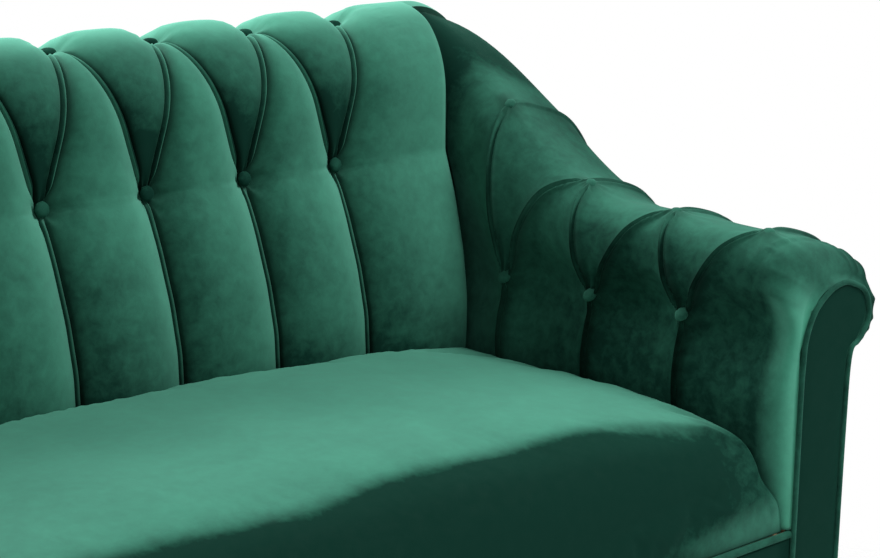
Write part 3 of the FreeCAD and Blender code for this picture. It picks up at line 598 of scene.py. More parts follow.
def velvet(name="Green velvet"):
    """The sofa's cloth: the painted shade colour where the painted light level is low, the painted light
    colour where it is high, and a painted sheen on its rim, where the facing weight times the painted
    light level mixes in the painted sheen colour."""
    if name in bpy.data.materials:
        return bpy.data.materials[name]
    cloth = settings()[0]
    material, tree, shader, where = start_material(name)
    # The painted crease shade and the painted light level, read from the pieces' attributes.
    crease_shade, pile_and_painted_light = (add(tree, "ShaderNodeAttribute", attribute_name=key).outputs["Fac"]
                    for key in ("crease_shade", "pile_and_painted_light"))
    tone_and_painted_light_node = add(tree, "ShaderNodeGroup", node_tree=tone_and_painted_light_group())
    feed(tree, tone_and_painted_light_node, {"Vector": where, "Crease shade": crease_shade, "Pile and painted light": pile_and_painted_light, "Deep": (*cloth.painted_shade_colour, 1),
                     "Light": (*cloth.painted_light_colour, 1)})
    # Painted sheen: the facing weight, times the painted light level carried from -0.1 to 0.8 over to 0 to 1,
    # mixes the painted sheen colour into the base colour.
    edge = add(tree, "ShaderNodeLayerWeight", {"Blend": 0.35}).outputs["Facing"]
    painted_sheen_share = combine(tree, "MULTIPLY", edge, spread(tree, pile_and_painted_light, -0.1, 0.8, 0.0, 1.0))
    feed(tree, shader, {
        "Base Color": mix_colour(tree, "MIX", painted_sheen_share, tone_and_painted_light_node.outputs["Color"], (*cloth.painted_sheen_colour, 1)),
        "Roughness": tone_and_painted_light_node.outputs["Roughness"],
        "Normal": relief(tree, tone_and_painted_light_node.outputs["Height"], cloth.pile_and_painted_light, 0.35),
        "Specular IOR Level": 0.04, "Sheen Weight": 0.08, "Sheen Roughness": 0.38,
        "Sheen Tint": (0.22, 0.95, 0.66, 1)})
    return material


def wood(name, dark, light, roughness, coat):
    """Timber, bare or stained and lacquered."""
    material, tree, shader, where = start_material(name)
    grain = add(tree, "ShaderNodeGroup", node_tree=grain_group())
    feed(tree, grain, {"Vector": where, "Dark": (*dark, 1), "Light": (*light, 1)})
    feed(tree, shader, {"Base Color": grain.outputs["Color"],
                        "Normal": relief(tree, grain.outputs["Height"], 0.0006, 0.3),
                        "Roughness": roughness, "Coat Weight": coat, "Coat Roughness": 0.2})
    return material


def plain_weave(name, dark, light, scale, roughness):
    """Hessian, webbing or the bottom cloth."""
    material, tree, shader, where = start_material(name)
    weave = add(tree, "ShaderNodeGroup", node_tree=weave_group())
    feed(tree, weave, {"Vector": where, "Scale": scale, "Dark": (*dark, 1), "Light": (*light, 1)})
    feed(tree, shader, {"Base Color": weave.outputs["Color"], "Roughness": roughness,
                        "Normal": relief(tree, weave.outputs["Height"], 0.0004, 0.5)})
    return material


def speckled(name, colour, roughness, metallic, scale):
    """Foam, nylon or steel: a quarter darker and lighter in its specks."""
    material, tree, shader, where = start_material(name)
    specks = add(tree, "ShaderNodeGroup", node_tree=specks_group())
    dark, light = ([min(1, part * factor) for part in colour] for factor in (0.75, 1.25))
    feed(tree, specks, {"Vector": where, "Scale": scale, "Dark": (*dark, 1), "Light": (*light, 1),
                        "Roughness": roughness})
    feed(tree, shader, {"Base Color": specks.outputs["Color"], "Roughness": specks.outputs["Roughness"],
                        "Metallic": metallic})
    return material


# Operators

class SOFA_OT_stage(bpy.types.Operator):
    """Sets the floor, the lights, the white surroundings and the camera"""

    bl_idname = "sofa.stage"
    bl_label = "Floor, lights and camera"

    def execute(self, context):
        scene = context.scene
        scene.view_settings.view_transform = "Standard"
        self.lay_floor(scene)
        self.light_surroundings(scene)
        for name, where, target, size, power in (
                ("Key", (1.5, -1.7, 2.8), (0.1, 0.1, 0.5), (1.7, 1.2), 78),
                ("Fill", (-2.4, -2.8, 1.6), (0.2, 0.0, 0.5), (2.0, 2.0), 30),
                ("Rim", (-0.4, 2.0, 2.6), (0.3, 0.2, 0.6), (2.6, 1.0), 85)):
            light = bpy.data.lights.new(name, "AREA")
            light.shape = "RECTANGLE"
            light.size, light.size_y = size
            light.energy = power
            holder = bpy.data.objects.new(name, light)
            holder.location = where
            holder.rotation_mode = "QUATERNION"
            holder.rotation_quaternion = (Vector(target) - Vector(where)).to_track_quat("-Z", "Y")
            scene.collection.objects.link(holder)
        self.set_camera(scene)
        return {"FINISHED"}

    def lay_floor(self, scene):
        """A pale floor that turns clear from 0.72 to 1 of an oval's radius, round the sofa's middle."""
        west, south, east, north = -1.8, -1.55, 1.8, 0.93
        mesh = bpy.data.meshes.new("Floor")
        mesh.from_pydata([(west, south, 0), (east, south, 0), (east, north, 0), (west, north, 0)], [],
                         [(0, 1, 2, 3)])
        floor = bpy.data.objects.new("Floor", mesh)
        scene.collection.objects.link(floor)
        material, tree, shader, where = start_material("Pale floor")
        pale = mix_colour(tree, "MIX", noise(tree, where, 2.0), (0.90, 0.90, 0.90, 1), (0.94, 0.94, 0.94, 1))
        feed(tree, shader, {"Base Color": pale, "Roughness": 0.8})
        oval = add(tree, "ShaderNodeMapping", {"Vector": where, "Location": (0, 0.27, 0),
                                               "Scale": (0.57, 0.85, 1)})
        away = add(tree, "ShaderNodeVectorMath", {0: oval.outputs["Vector"]}, operation="LENGTH")
        fade = add(tree, "ShaderNodeMapRange", {"Value": away.outputs["Value"], "From Min": 0.72,
                                                "From Max": 1.0}, interpolation_type="SMOOTHSTEP")
        clear = add(tree, "ShaderNodeBsdfTransparent")
        both = add(tree, "ShaderNodeMixShader", {0: fade.outputs["Result"], 1: shader.outputs["BSDF"],
                                                 2: clear.outputs["BSDF"]})
        feed(tree, tree.get_output_node("ALL"), {"Surface": both.outputs[0]})
        mesh.materials.append(material)

    def light_surroundings(self, scene):
        """Surroundings that are seen white, directly or in a reflection, but shine at 0.22 of that."""
        world = bpy.data.worlds.new("White surroundings")
        scene.world = world
        world.use_nodes = True
        tree = world.node_tree
        tree.nodes.clear()
        ray = add(tree, "ShaderNodeLightPath").outputs
        seen = combine(tree, "MAXIMUM", ray["Is Camera Ray"], ray["Is Glossy Ray"])
        seen = combine(tree, "MAXIMUM", seen, ray["Is Transmission Ray"])
        dim = add(tree, "ShaderNodeBackground", {"Color": (1, 1, 1, 1), "Strength": 0.22})
        white = add(tree, "ShaderNodeBackground", {"Color": (1, 1, 1, 1), "Strength": 1.0})
        both = add(tree, "ShaderNodeMixShader", {0: seen, 1: dim.outputs[0], 2: white.outputs[0]})
        add(tree, "ShaderNodeOutputWorld", {"Surface": both.outputs[0]})

    def set_camera(self, scene):
        """The camera as resected: turned to the right of the sofa's depth, and tipped down."""
        turn, tip = math.radians(44.08), math.radians(12.21)
        ahead = Vector((math.sin(turn) * math.cos(tip), math.cos(turn) * math.cos(tip), -math.sin(tip)))
        right = Vector((math.cos(turn), -math.sin(turn), 0))
        turned = Matrix((right, right.cross(ahead), -ahead)).transposed().to_4x4()
        data = bpy.data.cameras.new("Photograph")
        data.sensor_width = 36.0
        data.lens = 94.99
        camera = bpy.data.objects.new("Photograph", data)
        camera.matrix_world = Matrix.Translation(place(-2.2572, -2.2881, 0.7873)) @ turned
        scene.collection.objects.link(camera)
        scene.camera = camera


class SOFA_OT_frame(bpy.types.Operator):
    """Gives the timber, webbing, foam, legs and glides their finishes"""

    bl_idname = "sofa.frame"
    bl_label = "Frame and legs"

    def execute(self, context):
        stain = settings()[2].leg_colour
        finishes = {
            "frame_timber": wood("Frame timber", (0.36, 0.22, 0.11), (0.62, 0.44, 0.26), 0.7, 0.0),
            "leg_wood": wood("Stained legs", [part * 0.5 for part in stain], stain, 0.35, 0.4),
            "foam": speckled("Bench foam", (0.80, 0.72, 0.50), 0.9, 0.0, 400.0),
            "hessian": plain_weave("Hessian", (0.30, 0.21, 0.11), (0.58, 0.45, 0.27), 350.0, 0.95),
            "webbing": plain_weave("Webbing", (0.12, 0.08, 0.05), (0.32, 0.23, 0.15), 220.0, 0.95),
            "leg_steel": speckled("Leg plate steel", (0.45, 0.45, 0.46), 0.4, 1.0, 150.0),
            "glide_nylon": speckled("Glide nylon", (0.05, 0.05, 0.05), 0.5, 0.0, 300.0),
        }
        for row in frame["record"]["subparts"]:
            finish = finishes.get(row["material_slot"])
            if finish:
                mesh = frame["nodes"][row["node"]].data
                mesh.materials.clear()
                mesh.materials.append(finish)
        return {"FINISHED"}


class SOFA_OT_back(bpy.types.Operator):
    """Makes the tufted back: channels up to the buttons, diamonds above them and folds over the roll"""

    bl_idname = "sofa.back"
    bl_label = "Tufted back"

    def execute(self, context):
        padding = settings()[1]
        line, along, at_button, at_tuft = back_profile(170)
        climb = np.clip((along - at_button) / (at_tuft - at_button), 0, 1)[:, None]
        inner = pleat_bounds(BUTTONS, TUFTS, climb, padding.pleat_width)
        fold = smooth_step(climb / 0.15) * smooth_step((1 - climb) / 0.08)

        # The crown of the channels at marks up the back, as a running mean over 90 mm.
        marks = [0, 0.06, 0.17, at_button - 0.04, at_button + 0.03, at_tuft, at_tuft + 0.10, along[-1]]
        full = [0.30, 0.60, 0.90, 1.00, 0.88, 0.76, 0.5, 0.10]
        shifts = np.linspace(-0.045, 0.045, 9)
        eased = np.mean([np.interp(along + shift, marks, full) for shift in shifts], axis=0)
        crown = padding.back_swell * eased[:, None]
        way = np.gradient(line, axis=0)
        outward = np.stack([-way[:, 1], way[:, 0]], -1) / np.linalg.norm(way, axis=1, keepdims=True)
        seats = [(x, at_button, 1.0) for x in BUTTONS] + [(x, at_tuft, 0.8) for x in TUFTS]

        # Every row ends at the corner seam, whose place depends on how deep the padded row lies there,
        # so the rows are laid out five times. The two end strips keep 0.8 of their crown to the seam,
        # and 0.55 above the tufts, and round over to it within 18 mm.
        ends = SEAT_SIDE + mitre_out(line[:, :1])
        for _ in range(5):
            x, share, width, strip = strips(np.concatenate([-ends, inner, ends], 1), padding.strip_steps)
            inside_v = strip % 2 == 1
            flatter = np.where(inside_v, 0.45 + 0.55 * climb**2, 1.0)
            lift, crease_shade = swell(share, width, PITCH, crown * flatter, fold, padding)
            outermost = ((strip == 0) & (share < 0.5)) | ((strip == strip.max()) & (share >= 0.5))
            from_edge = np.minimum(share, 1 - share) * width
            kept = 0.8 - 0.25 * smooth_step((along - at_tuft + 0.06) / 0.06)[:, None]
            round_over = 1 - (1 - np.minimum(1, from_edge / 0.018)) ** 2.2
            lift = np.where(outermost, crown * (kept + (1 - kept) * round_over), lift)
            # Painted shade along the corner seam.
            crease_shade = np.where(outermost, 0.35 * np.exp(-from_edge / 0.004), crease_shade)
            ripple, pull = wrinkles(x, np.broadcast_to(along[:, None], x.shape), seats, 4)
            height = lift * (1 - 0.85 * pull) + ripple - 0.004 * pull
            deep = line[:, :1] + outward[:, :1] * height
            ends = SEAT_SIDE + mitre_out(deep[:, -1:]) - SEAM_GAP
        rise = line[:, 1:] + outward[:, 1:] * height
        outer = np.stack([x, SEAT_LINE + deep, SEAT_CORNER + rise], -1)

        # The hollow inner side: straight rows from seam to seam.
        across = np.linspace(-1, 1, outer.shape[1])[None, :] + 0 * BACK_CORE[:, :1]
        half = SEAT_SIDE + mitre_out(BACK_CORE[:, :1]) - 0.002
        core = np.stack([across * half, SEAT_LINE + BACK_CORE[:, :1] + 0 * across,
                         SEAT_CORNER + BACK_CORE[:, 1:] + 0 * across], -1)
        none = 0 * across

        # Painted light and shade: lighter towards the crest and on the right of each channel, and darker
        # low on the back and inside each V.
        marks = [0, 0.10, at_button - 0.03, at_button, at_tuft - 0.05, at_tuft, at_tuft + 0.03,
                 at_tuft + 0.12]
        lean_and_painted_light = np.interp(along, marks, [-0.22, 0.08, 0.24, 0.20, 0.30, 0.70, 1.0, 0.0])[:, None]
        shaded = 0.62 * (1 - climb) * smooth_step(climb / 0.02) * inside_v
        lean_and_painted_light = lean_and_painted_light + 0.34 * (share - 0.5) * np.minimum(1, width / 0.08) * (1 - climb) - shaded
        # Painted crease shade in the pleats and round each button, and the painted light level.
        values = {"crease_shade": np.concatenate([np.maximum(crease_shade, 0.8 * pull), none]),
                  "pile_and_painted_light": np.concatenate([lean_and_painted_light, none])}
        piece = face_outwards(ring_solid("Back_padding", np.concatenate([outer, core]), velvet(), values))
        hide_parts("back_pad")
        return {"FINISHED"}


class SOFA_OT_arms(bpy.types.Operator):
    """Makes the tufted arms, with pleats over the scroll and gathers round each facing"""

    bl_idname = "sofa.arms"
    bl_label = "Tufted arms"

    def execute(self, context):
        padding = settings()[1]
        rows = 170
        front = FRONT + 0.001
        section = curve_weights(len(ARM_KEYS), rows) @ ARM_KEYS
        out, rise, lift_share, crown, facing_out, facing_rise = section.T
        level = np.linspace(0, len(ARM_KEYS) - 1, rows)
        climb = np.interp(level, [0, BUTTON_LEVEL, 4, 5, TUFT_LEVEL, 11], [0, 0, 0.33, 0.66, 1, 1])[:, None]
        inner = pleat_bounds(ARM_BUTTONS, ARM_TUFTS, climb, padding.pleat_width)
        fold = smooth_step(climb / 0.15) * smooth_step((1 - climb) / 0.10)
        girth = np.concatenate([[0], np.cumsum(np.hypot(np.diff(out), np.diff(rise)))])
        seats = [(y, np.interp(BUTTON_LEVEL, level, girth), 1.0) for y in ARM_BUTTONS]
        seats += [(y, np.interp(TUFT_LEVEL, level, girth), 0.4) for y in ARM_TUFTS]
        around = np.arctan2(facing_rise - 0.10, facing_out - 0.135)[:, None]
        out, rise, lift_share, crown = (row[:, None] for row in (out, rise, lift_share, crown))
        level, girth = level[:, None], girth[:, None]

        # The section is carried along the arm and climbs with it. Every row ends at the corner seam,
        # whose place depends on how far out the padded row lies, so the rows are laid out five times.
        # The front strip rounds over towards the facing within 50 mm: 1 - (1 - d / 50 mm)^2.2.
        ends = mitre_deep(out)
        for _ in range(5):
            bounds = np.concatenate([np.full((rows, 1), front), inner, ends], 1)
            deep, share, width, strip = strips(bounds, padding.strip_steps + 4)
            lift, crease_shade = swell(share, width, ARM_PITCH, crown, fold, padding)
            ripple, pull = wrinkles(deep, np.broadcast_to(girth, deep.shape), seats, 9)
            fore = (strip == 0) & (share < 0.5)
            aft = (strip == strip.max()) & (share >= 0.5)
            to_end = np.where(fore, share, 1 - share) * width
            round_over = 1 - (1 - np.minimum(1, to_end / 0.05)) ** 2.2
            lift = np.where(fore, crown * round_over, np.where(aft, crown, lift))
            # Painted shade: none on the front strip, a band along the rear seam, and less high up the arm.
            crease_shade = np.where(fore, 0, np.where(aft, 0.6 * np.exp(-to_end / 0.004), crease_shade))
            crease_shade = crease_shade * (0.9 - 0.5 * smooth_step((level - 3.8) / 1.5))
            height = lift * (1 - 0.85 * pull) + ripple * np.minimum(1, np.where(fore, to_end / 0.03, 1))
            base = place(out + 0 * deep, deep, rise + lift_share * arm_lift(deep))
            normal = grid_normals(base)
            normal[..., 1] = 0
            flat = base + normal * (height - 0.003 * pull)[..., None]
            ends = mitre_deep(flat[:, -1:, 0] - SEAT_SIDE) - SEAM_GAP

        # Over the last 45 mm the section is drawn in to the facing's edge along a quarter circle,
        # 1 - sqrt(1 - t^2), and gathered there in folds (1 - |sin(phase)|)^1.3 deep, mostly on its
        # outer side, with an uneven phase.
        near = np.clip(1 - (deep - front) / 0.045, 0, 1)
        drawn = 1 - np.sqrt(np.maximum(0, 1 - near**2))
        facing = place(facing_out[:, None] + 0 * deep, deep, facing_rise[:, None] + 0 * deep)
        phase = around * 10 + 1.1 * np.sin(around * 5 + 1)
        gathered = smooth_step((level - 6.6) / 1.2) + 0.5 * smooth_step(1 - np.abs(level - 4.3))
        folds = (0.7 + 0.3 * np.sin(around * 3.3)) * (1 - np.abs(np.sin(phase))) ** 1.3
        gather = folds * np.minimum(1, gathered) * smooth_step(near / 0.35) * smooth_step((1 - near) / 0.10)
        shell = flat + (facing - flat) * drawn[..., None]
        shell[..., 1] = flat[..., 1]
        shell = shell - normal * 0.0060 * gather[..., None]

        # The hollow inner side, which climbs in the same way.
        core_out, core_rise, core_lift = (row[:, None] for row in ARM_CORE.T)
        reach_back = mitre_deep(core_out) + 0.002
        core_deep = front + (reach_back - front) * np.linspace(0, 1, deep.shape[1])[None, :]
        core = place(core_out + 0 * core_deep, core_deep, core_rise + core_lift * arm_lift(core_deep))
        none = 0 * core_deep

        # Painted light on the arm's front edge and, less, on its inner side at the rear; painted shade on its
        # top towards the back.
        lean_and_painted_light = np.interp(level, [0, 3, 4.5, 6, 7.5, 11], [-0.12, -0.08, -0.05, 0.10, -0.04, -0.25])
        nose = 0.95 * near**1.4 * smooth_step((5.6 - level) / 2.2)
        rear = 0.11 * smooth_step((deep + 0.30) / 0.25) * smooth_step(5.5 - level)
        rear_top = -0.30 * smooth_step(deep / 0.10) * smooth_step(level - 3.5)
        # Painted shade in the gathers round the facing and round each button.
        crease_shade = np.maximum(crease_shade, 0.8 * np.clip(gather, 0, 1))
        values = {"crease_shade": np.concatenate([np.maximum(crease_shade, 0.8 * pull), none]),
                  "pile_and_painted_light": np.concatenate([lean_and_painted_light + nose + rear + rear_top, none])}
        rings = np.concatenate([shell, core])
        right = face_outwards(ring_solid("Right_arm_padding", rings, velvet(), values))
        left = mirror_piece(right, "Left_arm_padding")
        for piece, node in ((right, "right_arm_pad"), (left, "left_arm_pad")):
            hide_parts(node)
        return {"FINISHED"}


class SOFA_OT_seat(bpy.types.Operator):
    """Makes the tight seat, crowned in the middle and rolled over at the front"""

    bl_idname = "sofa.seat"
    bl_label = "Seat"

    def execute(self, context):
        half = SEAT_SIDE - 0.002
        t = np.linspace(-1, 1, 220)
        x = half * np.sin(t * math.pi / 2) * 0.35 + half * t * 0.65
        section = curve_weights(len(SEAT_KEYS), 110) @ SEAT_KEYS
        deep, rise, forward, up = section.T[:, :, None]
        front = deep < -0.4

        # The crown is 1 - |x / side|^2.6 across; the sides turn down 12 mm along a quarter circle, and
        # the foot of the front spreads out to the facings. The simulation gives the last 3 mm of crown.
        share = 1 - np.abs(x / SEAT_SIDE) ** 2.6
        side = np.clip((half - np.abs(x)) / 0.030, 0, 1)
        tuck = 0.012 * (1 - np.sqrt(1 - (1 - side) ** 2))
        d = deep - forward * share + 0.4 * tuck * smooth_step((rise + 0.157) / 0.05) * front
        slack = 0.003
        r = rise + (up - slack) * share - tuck * smooth_step((rise + 0.12) / 0.06)
        spread_out = 1 + 0.029 / half * smooth_step((-0.500 - d) / 0.03) * smooth_step((-0.075 - r) / 0.05)
        rings = np.stack([x * spread_out, SEAT_LINE + d, SEAT_CORNER + r], -1)

        # Two low waves make it uneven: sines of x and depth, 1.2 and 0.8 mm high.
        along = x + 0 * d
        wave = 0.0012 * np.sin(along * 9.0 + 1.3) * np.sin(d * 14.0)
        wave += 0.0008 * np.sin(along * 23.0 + d * 11.0)
        rings[..., 2] += wave * smooth_step((r + 0.10) / 0.08)

        # Painted light on top, and painted shade below a wandering line along the front, less dark towards
        # the foot and near the arms, with a narrow painted crease shade along the foot itself.
        crease_shade = np.exp(-np.abs(r + 0.157) / 0.006) * front
        wander = 0.008 * np.sin(along * 7.0 + 1.0) + 0.005 * np.sin(along * 19.0)
        top = smooth_step((d + 0.524 + wander) / 0.070)
        near_side = smooth_step((half - np.abs(x)) / 0.10)
        paler = smooth_step((-0.085 - r) / 0.055) + 1.3 * smooth_step((np.abs(x) - half + 0.32) / 0.28)
        pile_and_painted_light = -0.55 + top * (0.72 + 0.10 * near_side) + 0.30 * paler * (1 - top)
        values = {"crease_shade": crease_shade, "pile_and_painted_light": pile_and_painted_light}
        piece = face_outwards(ring_solid("Bench_padding", rings, velvet(), values))
        edges = (half - np.abs(x) < 0.012) | (r < -0.13) | (d > -0.03)
        swell_cloth(piece, np.append(edges, [True, True]), 2.5, 0.006)
        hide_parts("seat_pad")
        return {"FINISHED"}


class SOFA_OT_buttons(bpy.types.Operator):
    """Makes the covered buttons of the back and of both arms"""

    bl_idname = "sofa.buttons"
    bl_label = "Covered buttons"

    def execute(self, context):
        trim = settings()[2]
        rows = {}

        # On the back, square to the profile; the upper ones are sunk 4 mm.
        steps = 400
        line, along, at_button, at_tuft = back_profile(steps)
        for node, at, places, sunk in (("back_lower_buttons", at_button, BUTTONS, 0.0),
                                       ("back_upper_buttons", at_tuft, TUFTS, 0.004)):
            k = np.searchsorted(along, at)
            way = line[min(k + 3, steps - 1)] - line[k - 3]
            normal = np.array([0, -way[1], way[0]]) / np.hypot(*way)
            seat = np.array([0, SEAT_LINE + line[k, 0], SEAT_CORNER + line[k, 1]]) - sunk * normal
            rows[node] = [(seat + np.array([x, 0, 0]), normal) for x in places]

        # On the arms, along two rows of the section, on the right and mirrored on the left.
        for node, level, places, normal, raised in (
                ("arm_lower_buttons", BUTTON_LEVEL, ARM_BUTTONS, (-0.77, 0.0, 0.64), 0.0045),
                ("arm_upper_buttons", TUFT_LEVEL, ARM_TUFTS, (-0.50, 0.0, 0.87), -0.0025)):
            out, rise, lift_share = ARM_KEYS[level, :3]
            seats = place(out + 0 * places, places, rise + lift_share * arm_lift(places))
            seats = seats + raised * np.array(normal)
            rows[node] = [(seat * flip, normal * flip) for seat in seats
                          for flip in (np.array([1, 1, 1]), np.array([-1, 1, 1]))]

        # A button is a profile turned about its axis: rings of radius cos(t)^0.75 at a height of
        # 0.62 sin(t), over a narrower back, with seven faint dimples round it.
        turns = np.linspace(0, 2 * math.pi, 33)[:-1]
        tilt = np.linspace(0, 1, 12) * math.pi / 2
        ring_radius = np.concatenate([[0.55, 0.9], np.cos(tilt) ** 0.75])
        ring_height = np.concatenate([[-0.35, -0.1], 0.62 * np.sin(tilt) + 0.02])
        ring_radius[-1] = 0.0015
        dimples = 1 + 0.02 * np.cos(turns * 7)
        rings = len(ring_radius)
        caps = np.arange(len(turns))[None, :] * rings
        for node, seats in rows.items():
            points, faces = [], []
            for index, (centre, normal) in enumerate(seats):
                axis = normal / np.linalg.norm(normal)
                side = np.cross(axis, (0, 0, 1.0) if abs(axis[2]) < 0.9 else (0, 1.0, 0))
                side /= np.linalg.norm(side)
                up = np.cross(axis, side)
                circle = np.cos(turns)[:, None] * side + np.sin(turns)[:, None] * up
                wide = trim.button_radius * ring_radius[:, None, None] * (circle * dimples[:, None])[None]
                tall = trim.button_radius * ring_height[:, None, None] * axis
                points.append(np.swapaxes(centre + axis * 0.0012 + wide + tall, 0, 1).reshape(-1, 3))
                start = index * rings * len(turns)
                faces += [grid_faces(len(turns), rings, True) + start, caps + start,
                          caps[:, ::-1] + rings - 1 + start]
            name = node[0].upper() + node[1:] + "_covered"
            # Painted light level: the back's buttons a little into painted shade, the arms' a little lighter.
            painted_light_level = BACK_BUTTON_PAINTED_LIGHT if node.startswith("back") else ARM_BUTTON_PAINTED_LIGHT
            values = {"pile_and_painted_light": np.full(sum(map(len, points)), painted_light_level)}
            piece = make_mesh(name, np.concatenate(points), faces, velvet("Button velvet"), values)
            face_outwards(piece)
            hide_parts(node)
        return {"FINISHED"}


def tube(name, path, radius, material):
    """Piping: a circle of fourteen points carried along a path, square to it."""
    steps = np.gradient(path, axis=0)
    ahead = steps / np.linalg.norm(steps, axis=1, keepdims=True)
    side = np.cross(ahead, np.array([0, 1.0, 0]))
    weak = np.linalg.norm(side, axis=1) < 0.05
    side[weak] = np.cross(ahead[weak], np.array([1.0, 0, 0]))
    side /= np.linalg.norm(side, axis=1, keepdims=True)
    up = np.cross(side, ahead)
    turns = np.linspace(0, 2 * math.pi, 15)[:-1, None, None]
    ring = np.cos(turns) * side[None] + np.sin(turns) * up[None]
    return face_outwards(ring_solid(name, path[None] + radius * ring, material))


def facing_outline(steps):
    """The facing's edge from its inner foot over the scroll to its outer foot, in out and rise."""
    keys = np.concatenate([INNER_FOOT, FACING_KEYS, OUTER_FOOT])
    return even_line(curve_weights(len(keys), 300) @ keys, steps)[0]


class SOFA_OT_facings(bpy.types.Operator):
    """Makes the scroll facings, their welts and the welt below the seat"""

    bl_idname = "sofa.facings"
    bl_label = "Facings and welts"

    def execute(self, context):
        trim = settings()[2]
        edge = facing_outline(180)
        path = place(edge[:, 0], FRONT - trim.welt_radius * 0.6, edge[:, 1])
        right = tube("Right_facing_piping", path, trim.welt_radius, velvet())
        left = mirror_piece(right, "Left_facing_piping")
        for piece, node in ((right, "right_facing_welt"), (left, "left_facing_welt")):
            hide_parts(node)

        # A facing is ruled between the inner and outer halves of its edge, and puffed out over its
        # width by 2.2 mm (1 - |2t - 1|^5); its back is flat.
        inner, outer = edge[:90], edge[:89:-1]
        across = np.linspace(0, 1, 15)[:, None]
        flat = inner[None] * (1 - across[..., None]) + outer[None] * across[..., None]
        puff = 0.0022 * (1 - np.abs(2 * across - 1) ** 5)
        sides = flat[[-1, 0]]
        rings = np.concatenate([place(flat[..., 0], FRONT - puff, flat[..., 1]),
                                place(sides[..., 0], FRONT + 0.0115, sides[..., 1])])
        # The facings are painted in shade.
        values = {"pile_and_painted_light": np.full(rings.shape[:2], FACING_PAINTED_LIGHT)}
        right = face_outwards(ring_solid("Right_facing_cover", rings, velvet(), values))
        left = mirror_piece(right, "Left_facing_cover")
        for piece, node in ((right, "right_arm_facing"), (left, "left_arm_facing")):
            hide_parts(node)

        half = SEAT_SIDE + 0.040
        x = np.linspace(-half, half, 90)
        welt_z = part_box("front_welt")[0].z + trim.front_welt_radius
        path = np.stack([x, 0 * x + SEAT_LINE + FRONT + 0.001, 0 * x + welt_z], -1)
        piece = tube("Front_piping", path, trim.front_welt_radius, velvet())
        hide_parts("front_welt")
        return {"FINISHED"}


class SOFA_OT_panels(bpy.types.Operator):
    """Makes the front apron, the outside arm panels and the outside back"""

    bl_idname = "sofa.panels"
    bl_label = "Apron and outside panels"

    def execute(self, context):
        for node, name in (("front_apron", "Front_apron_cover"), ("outside_back_panel", "Outside_back_cover"),
                           ("right_outside_arm_panel", "Right_outside_cover"),
                           ("left_outside_arm_panel", "Left_outside_cover")):
            front, back = self.sides(node, *(np.array(corner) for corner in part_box(node)))
            rings = np.concatenate([front.swapaxes(0, 1), back.swapaxes(0, 1)[::-1]])
            if node.startswith("left"):
                rings[..., 0] *= -1
            # The apron and outside panels are painted in shade.
            values = {"pile_and_painted_light": np.full(rings.shape[:2], PANEL_PAINTED_LIGHT)}
            piece = face_outwards(ring_solid(name, rings, velvet(), values))
            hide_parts(node)
        return {"FINISHED"}

    def sides(self, node, low, high):
        """Grids of the outer and inner side of a panel over u along it and v up it. The outer side
        bulges: for the apron 3.5 mm (1 - |2v - 1|^3)(1 - |2u - 1|^40), for the back 6 mm sin(pi v)
        (1 - |2u - 1|^4), for the arms 4 mm sin(pi v)(1 - |2u - 1|^4)."""
        columns, rows = {"front_apron": (60, 24), "outside_back_panel": (70, 30)}.get(node, (80, 40))
        u, v = np.meshgrid(np.linspace(0, 1, columns), np.linspace(0, 1, rows), indexing="ij")
        off = np.abs(2 * u - 1)
        z = low[2] + (high[2] - low[2]) * v
        if node == "front_apron":
            x = low[0] + (high[0] - low[0]) * u
            bulge = 0.0035 * (1 - np.abs(2 * v - 1) ** 3) * (1 - off**40)
            return np.stack([x, low[1] - bulge, z], -1), np.stack([x, 0 * x + high[1], z], -1)
        if node == "outside_back_panel":
            x = (SEAT_SIDE + 0.134 + LEAN_OUT * (z - low[2])) * (2 * u - 1)
            bulge = 0.006 * np.sin(v * math.pi) * (1 - off**4)
            return np.stack([x, high[1] + bulge, z], -1), np.stack([x, 0 * u + low[1], z], -1)
        deep = (low[1] - SEAT_LINE) + (high[1] - low[1]) * u
        foot = FRAME_BOTTOM - SEAT_CORNER
        rise = foot + (0.0465 + arm_lift(deep) - foot) * v
        lean_and_painted_light = LEAN_OUT * (rise - foot)
        bulge = 0.004 * np.sin(v * math.pi) * (1 - off**4)
        return place(0.134 + lean_and_painted_light + bulge, deep, rise), place(0.128 + lean_and_painted_light, deep, rise)


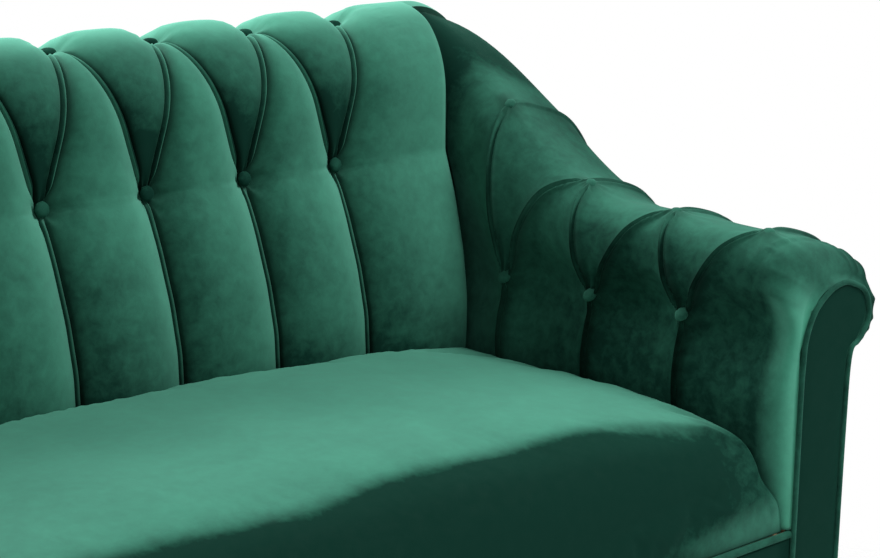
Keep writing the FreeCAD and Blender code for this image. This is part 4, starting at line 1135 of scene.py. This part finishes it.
class SOFA_OT_dust_cover(bpy.types.Operator):
    """Makes the thin cloth tacked under the frame, cut out round the legs' plates"""

    bl_idname = "sofa.dust_cover"
    bl_label = "Bottom cloth"

    def execute(self, context):
        low, high = (np.array(corner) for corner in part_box("dust_cover"))
        cuts = np.array([(x, SEAT_LINE + deep) for x, deep in CUT_MIDDLES])

        # A grid with lines along the cut-outs' edges, sagging by up to 1.5 mm in sine waves. The faces
        # whose middle lies under a plate are left out.
        lines = []
        for axis, count in ((0, 60), (1, 26)):
            edges = np.concatenate([cuts[:, axis] - CUT_HALF, cuts[:, axis] + CUT_HALF])
            line = np.unique(np.round(np.append(np.linspace(low[axis], high[axis], count), edges), 4))
            lines.append(line[(line > low[axis] - 1e-4) & (line < high[axis] + 1e-4)])
        x, y = np.meshgrid(*lines, indexing="ij")
        sag = 0.0015 * np.sin((x - low[0]) * 9) * np.sin(math.pi * (y - low[1]) / (high[1] - low[1]))
        points = np.stack([x, y, high[2] - 0.0006 - np.abs(sag)], -1).reshape(-1, 3)
        faces = grid_faces(*x.shape)
        middle = points[faces].mean(1)[:, :2]
        under_plate = (np.abs(middle[:, None] - cuts[None]) < CUT_HALF).all(-1).any(-1)
        faces = faces[~under_plate]
        cloth = plain_weave("Bottom cloth", (0.008, 0.008, 0.008), (0.02, 0.02, 0.02), 500.0, 0.95)
        piece = make_mesh("Bottom_cloth", points, [faces], cloth)
        thick = piece.modifiers.new("Thickness", "SOLIDIFY")
        thick.thickness = 0.0008
        thick.offset = 0
        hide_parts("dust_cover")
        return {"FINISHED"}


class SOFA_PT_panel(bpy.types.Panel):
    """Lists the pieces of the sofa"""

    bl_idname = "SOFA_PT_panel"
    bl_label = "Sofa"
    bl_space_type = "VIEW_3D"
    bl_region_type = "UI"
    bl_category = "Sofa"

    def draw(self, context):
        for group in settings():
            for key in group.__annotations__:
                self.layout.prop(group, key)
        for operator in OPERATORS:
            self.layout.operator(operator.bl_idname)


GROUPS = {"sofa_cloth": SofaCloth, "sofa_padding": SofaPadding, "sofa_trim": SofaTrim}
OPERATORS = (SOFA_OT_stage, SOFA_OT_frame, SOFA_OT_back, SOFA_OT_arms, SOFA_OT_seat, SOFA_OT_buttons,
             SOFA_OT_facings, SOFA_OT_panels, SOFA_OT_dust_cover)
CLASSES = (*GROUPS.values(), *OPERATORS, SOFA_PT_panel)


def register():
    for kind in CLASSES:
        bpy.utils.register_class(kind)
    for key, group in GROUPS.items():
        setattr(bpy.types.Scene, key, PointerProperty(type=group))


def unregister():
    for key in GROUPS:
        delattr(bpy.types.Scene, key)
    for kind in reversed(CLASSES):
        bpy.utils.unregister_class(kind)


def main():
    register()
    for operator in OPERATORS:
        getattr(bpy.ops.sofa, operator.bl_idname.split(".")[1])()


if __name__ == "__main__":
    main()
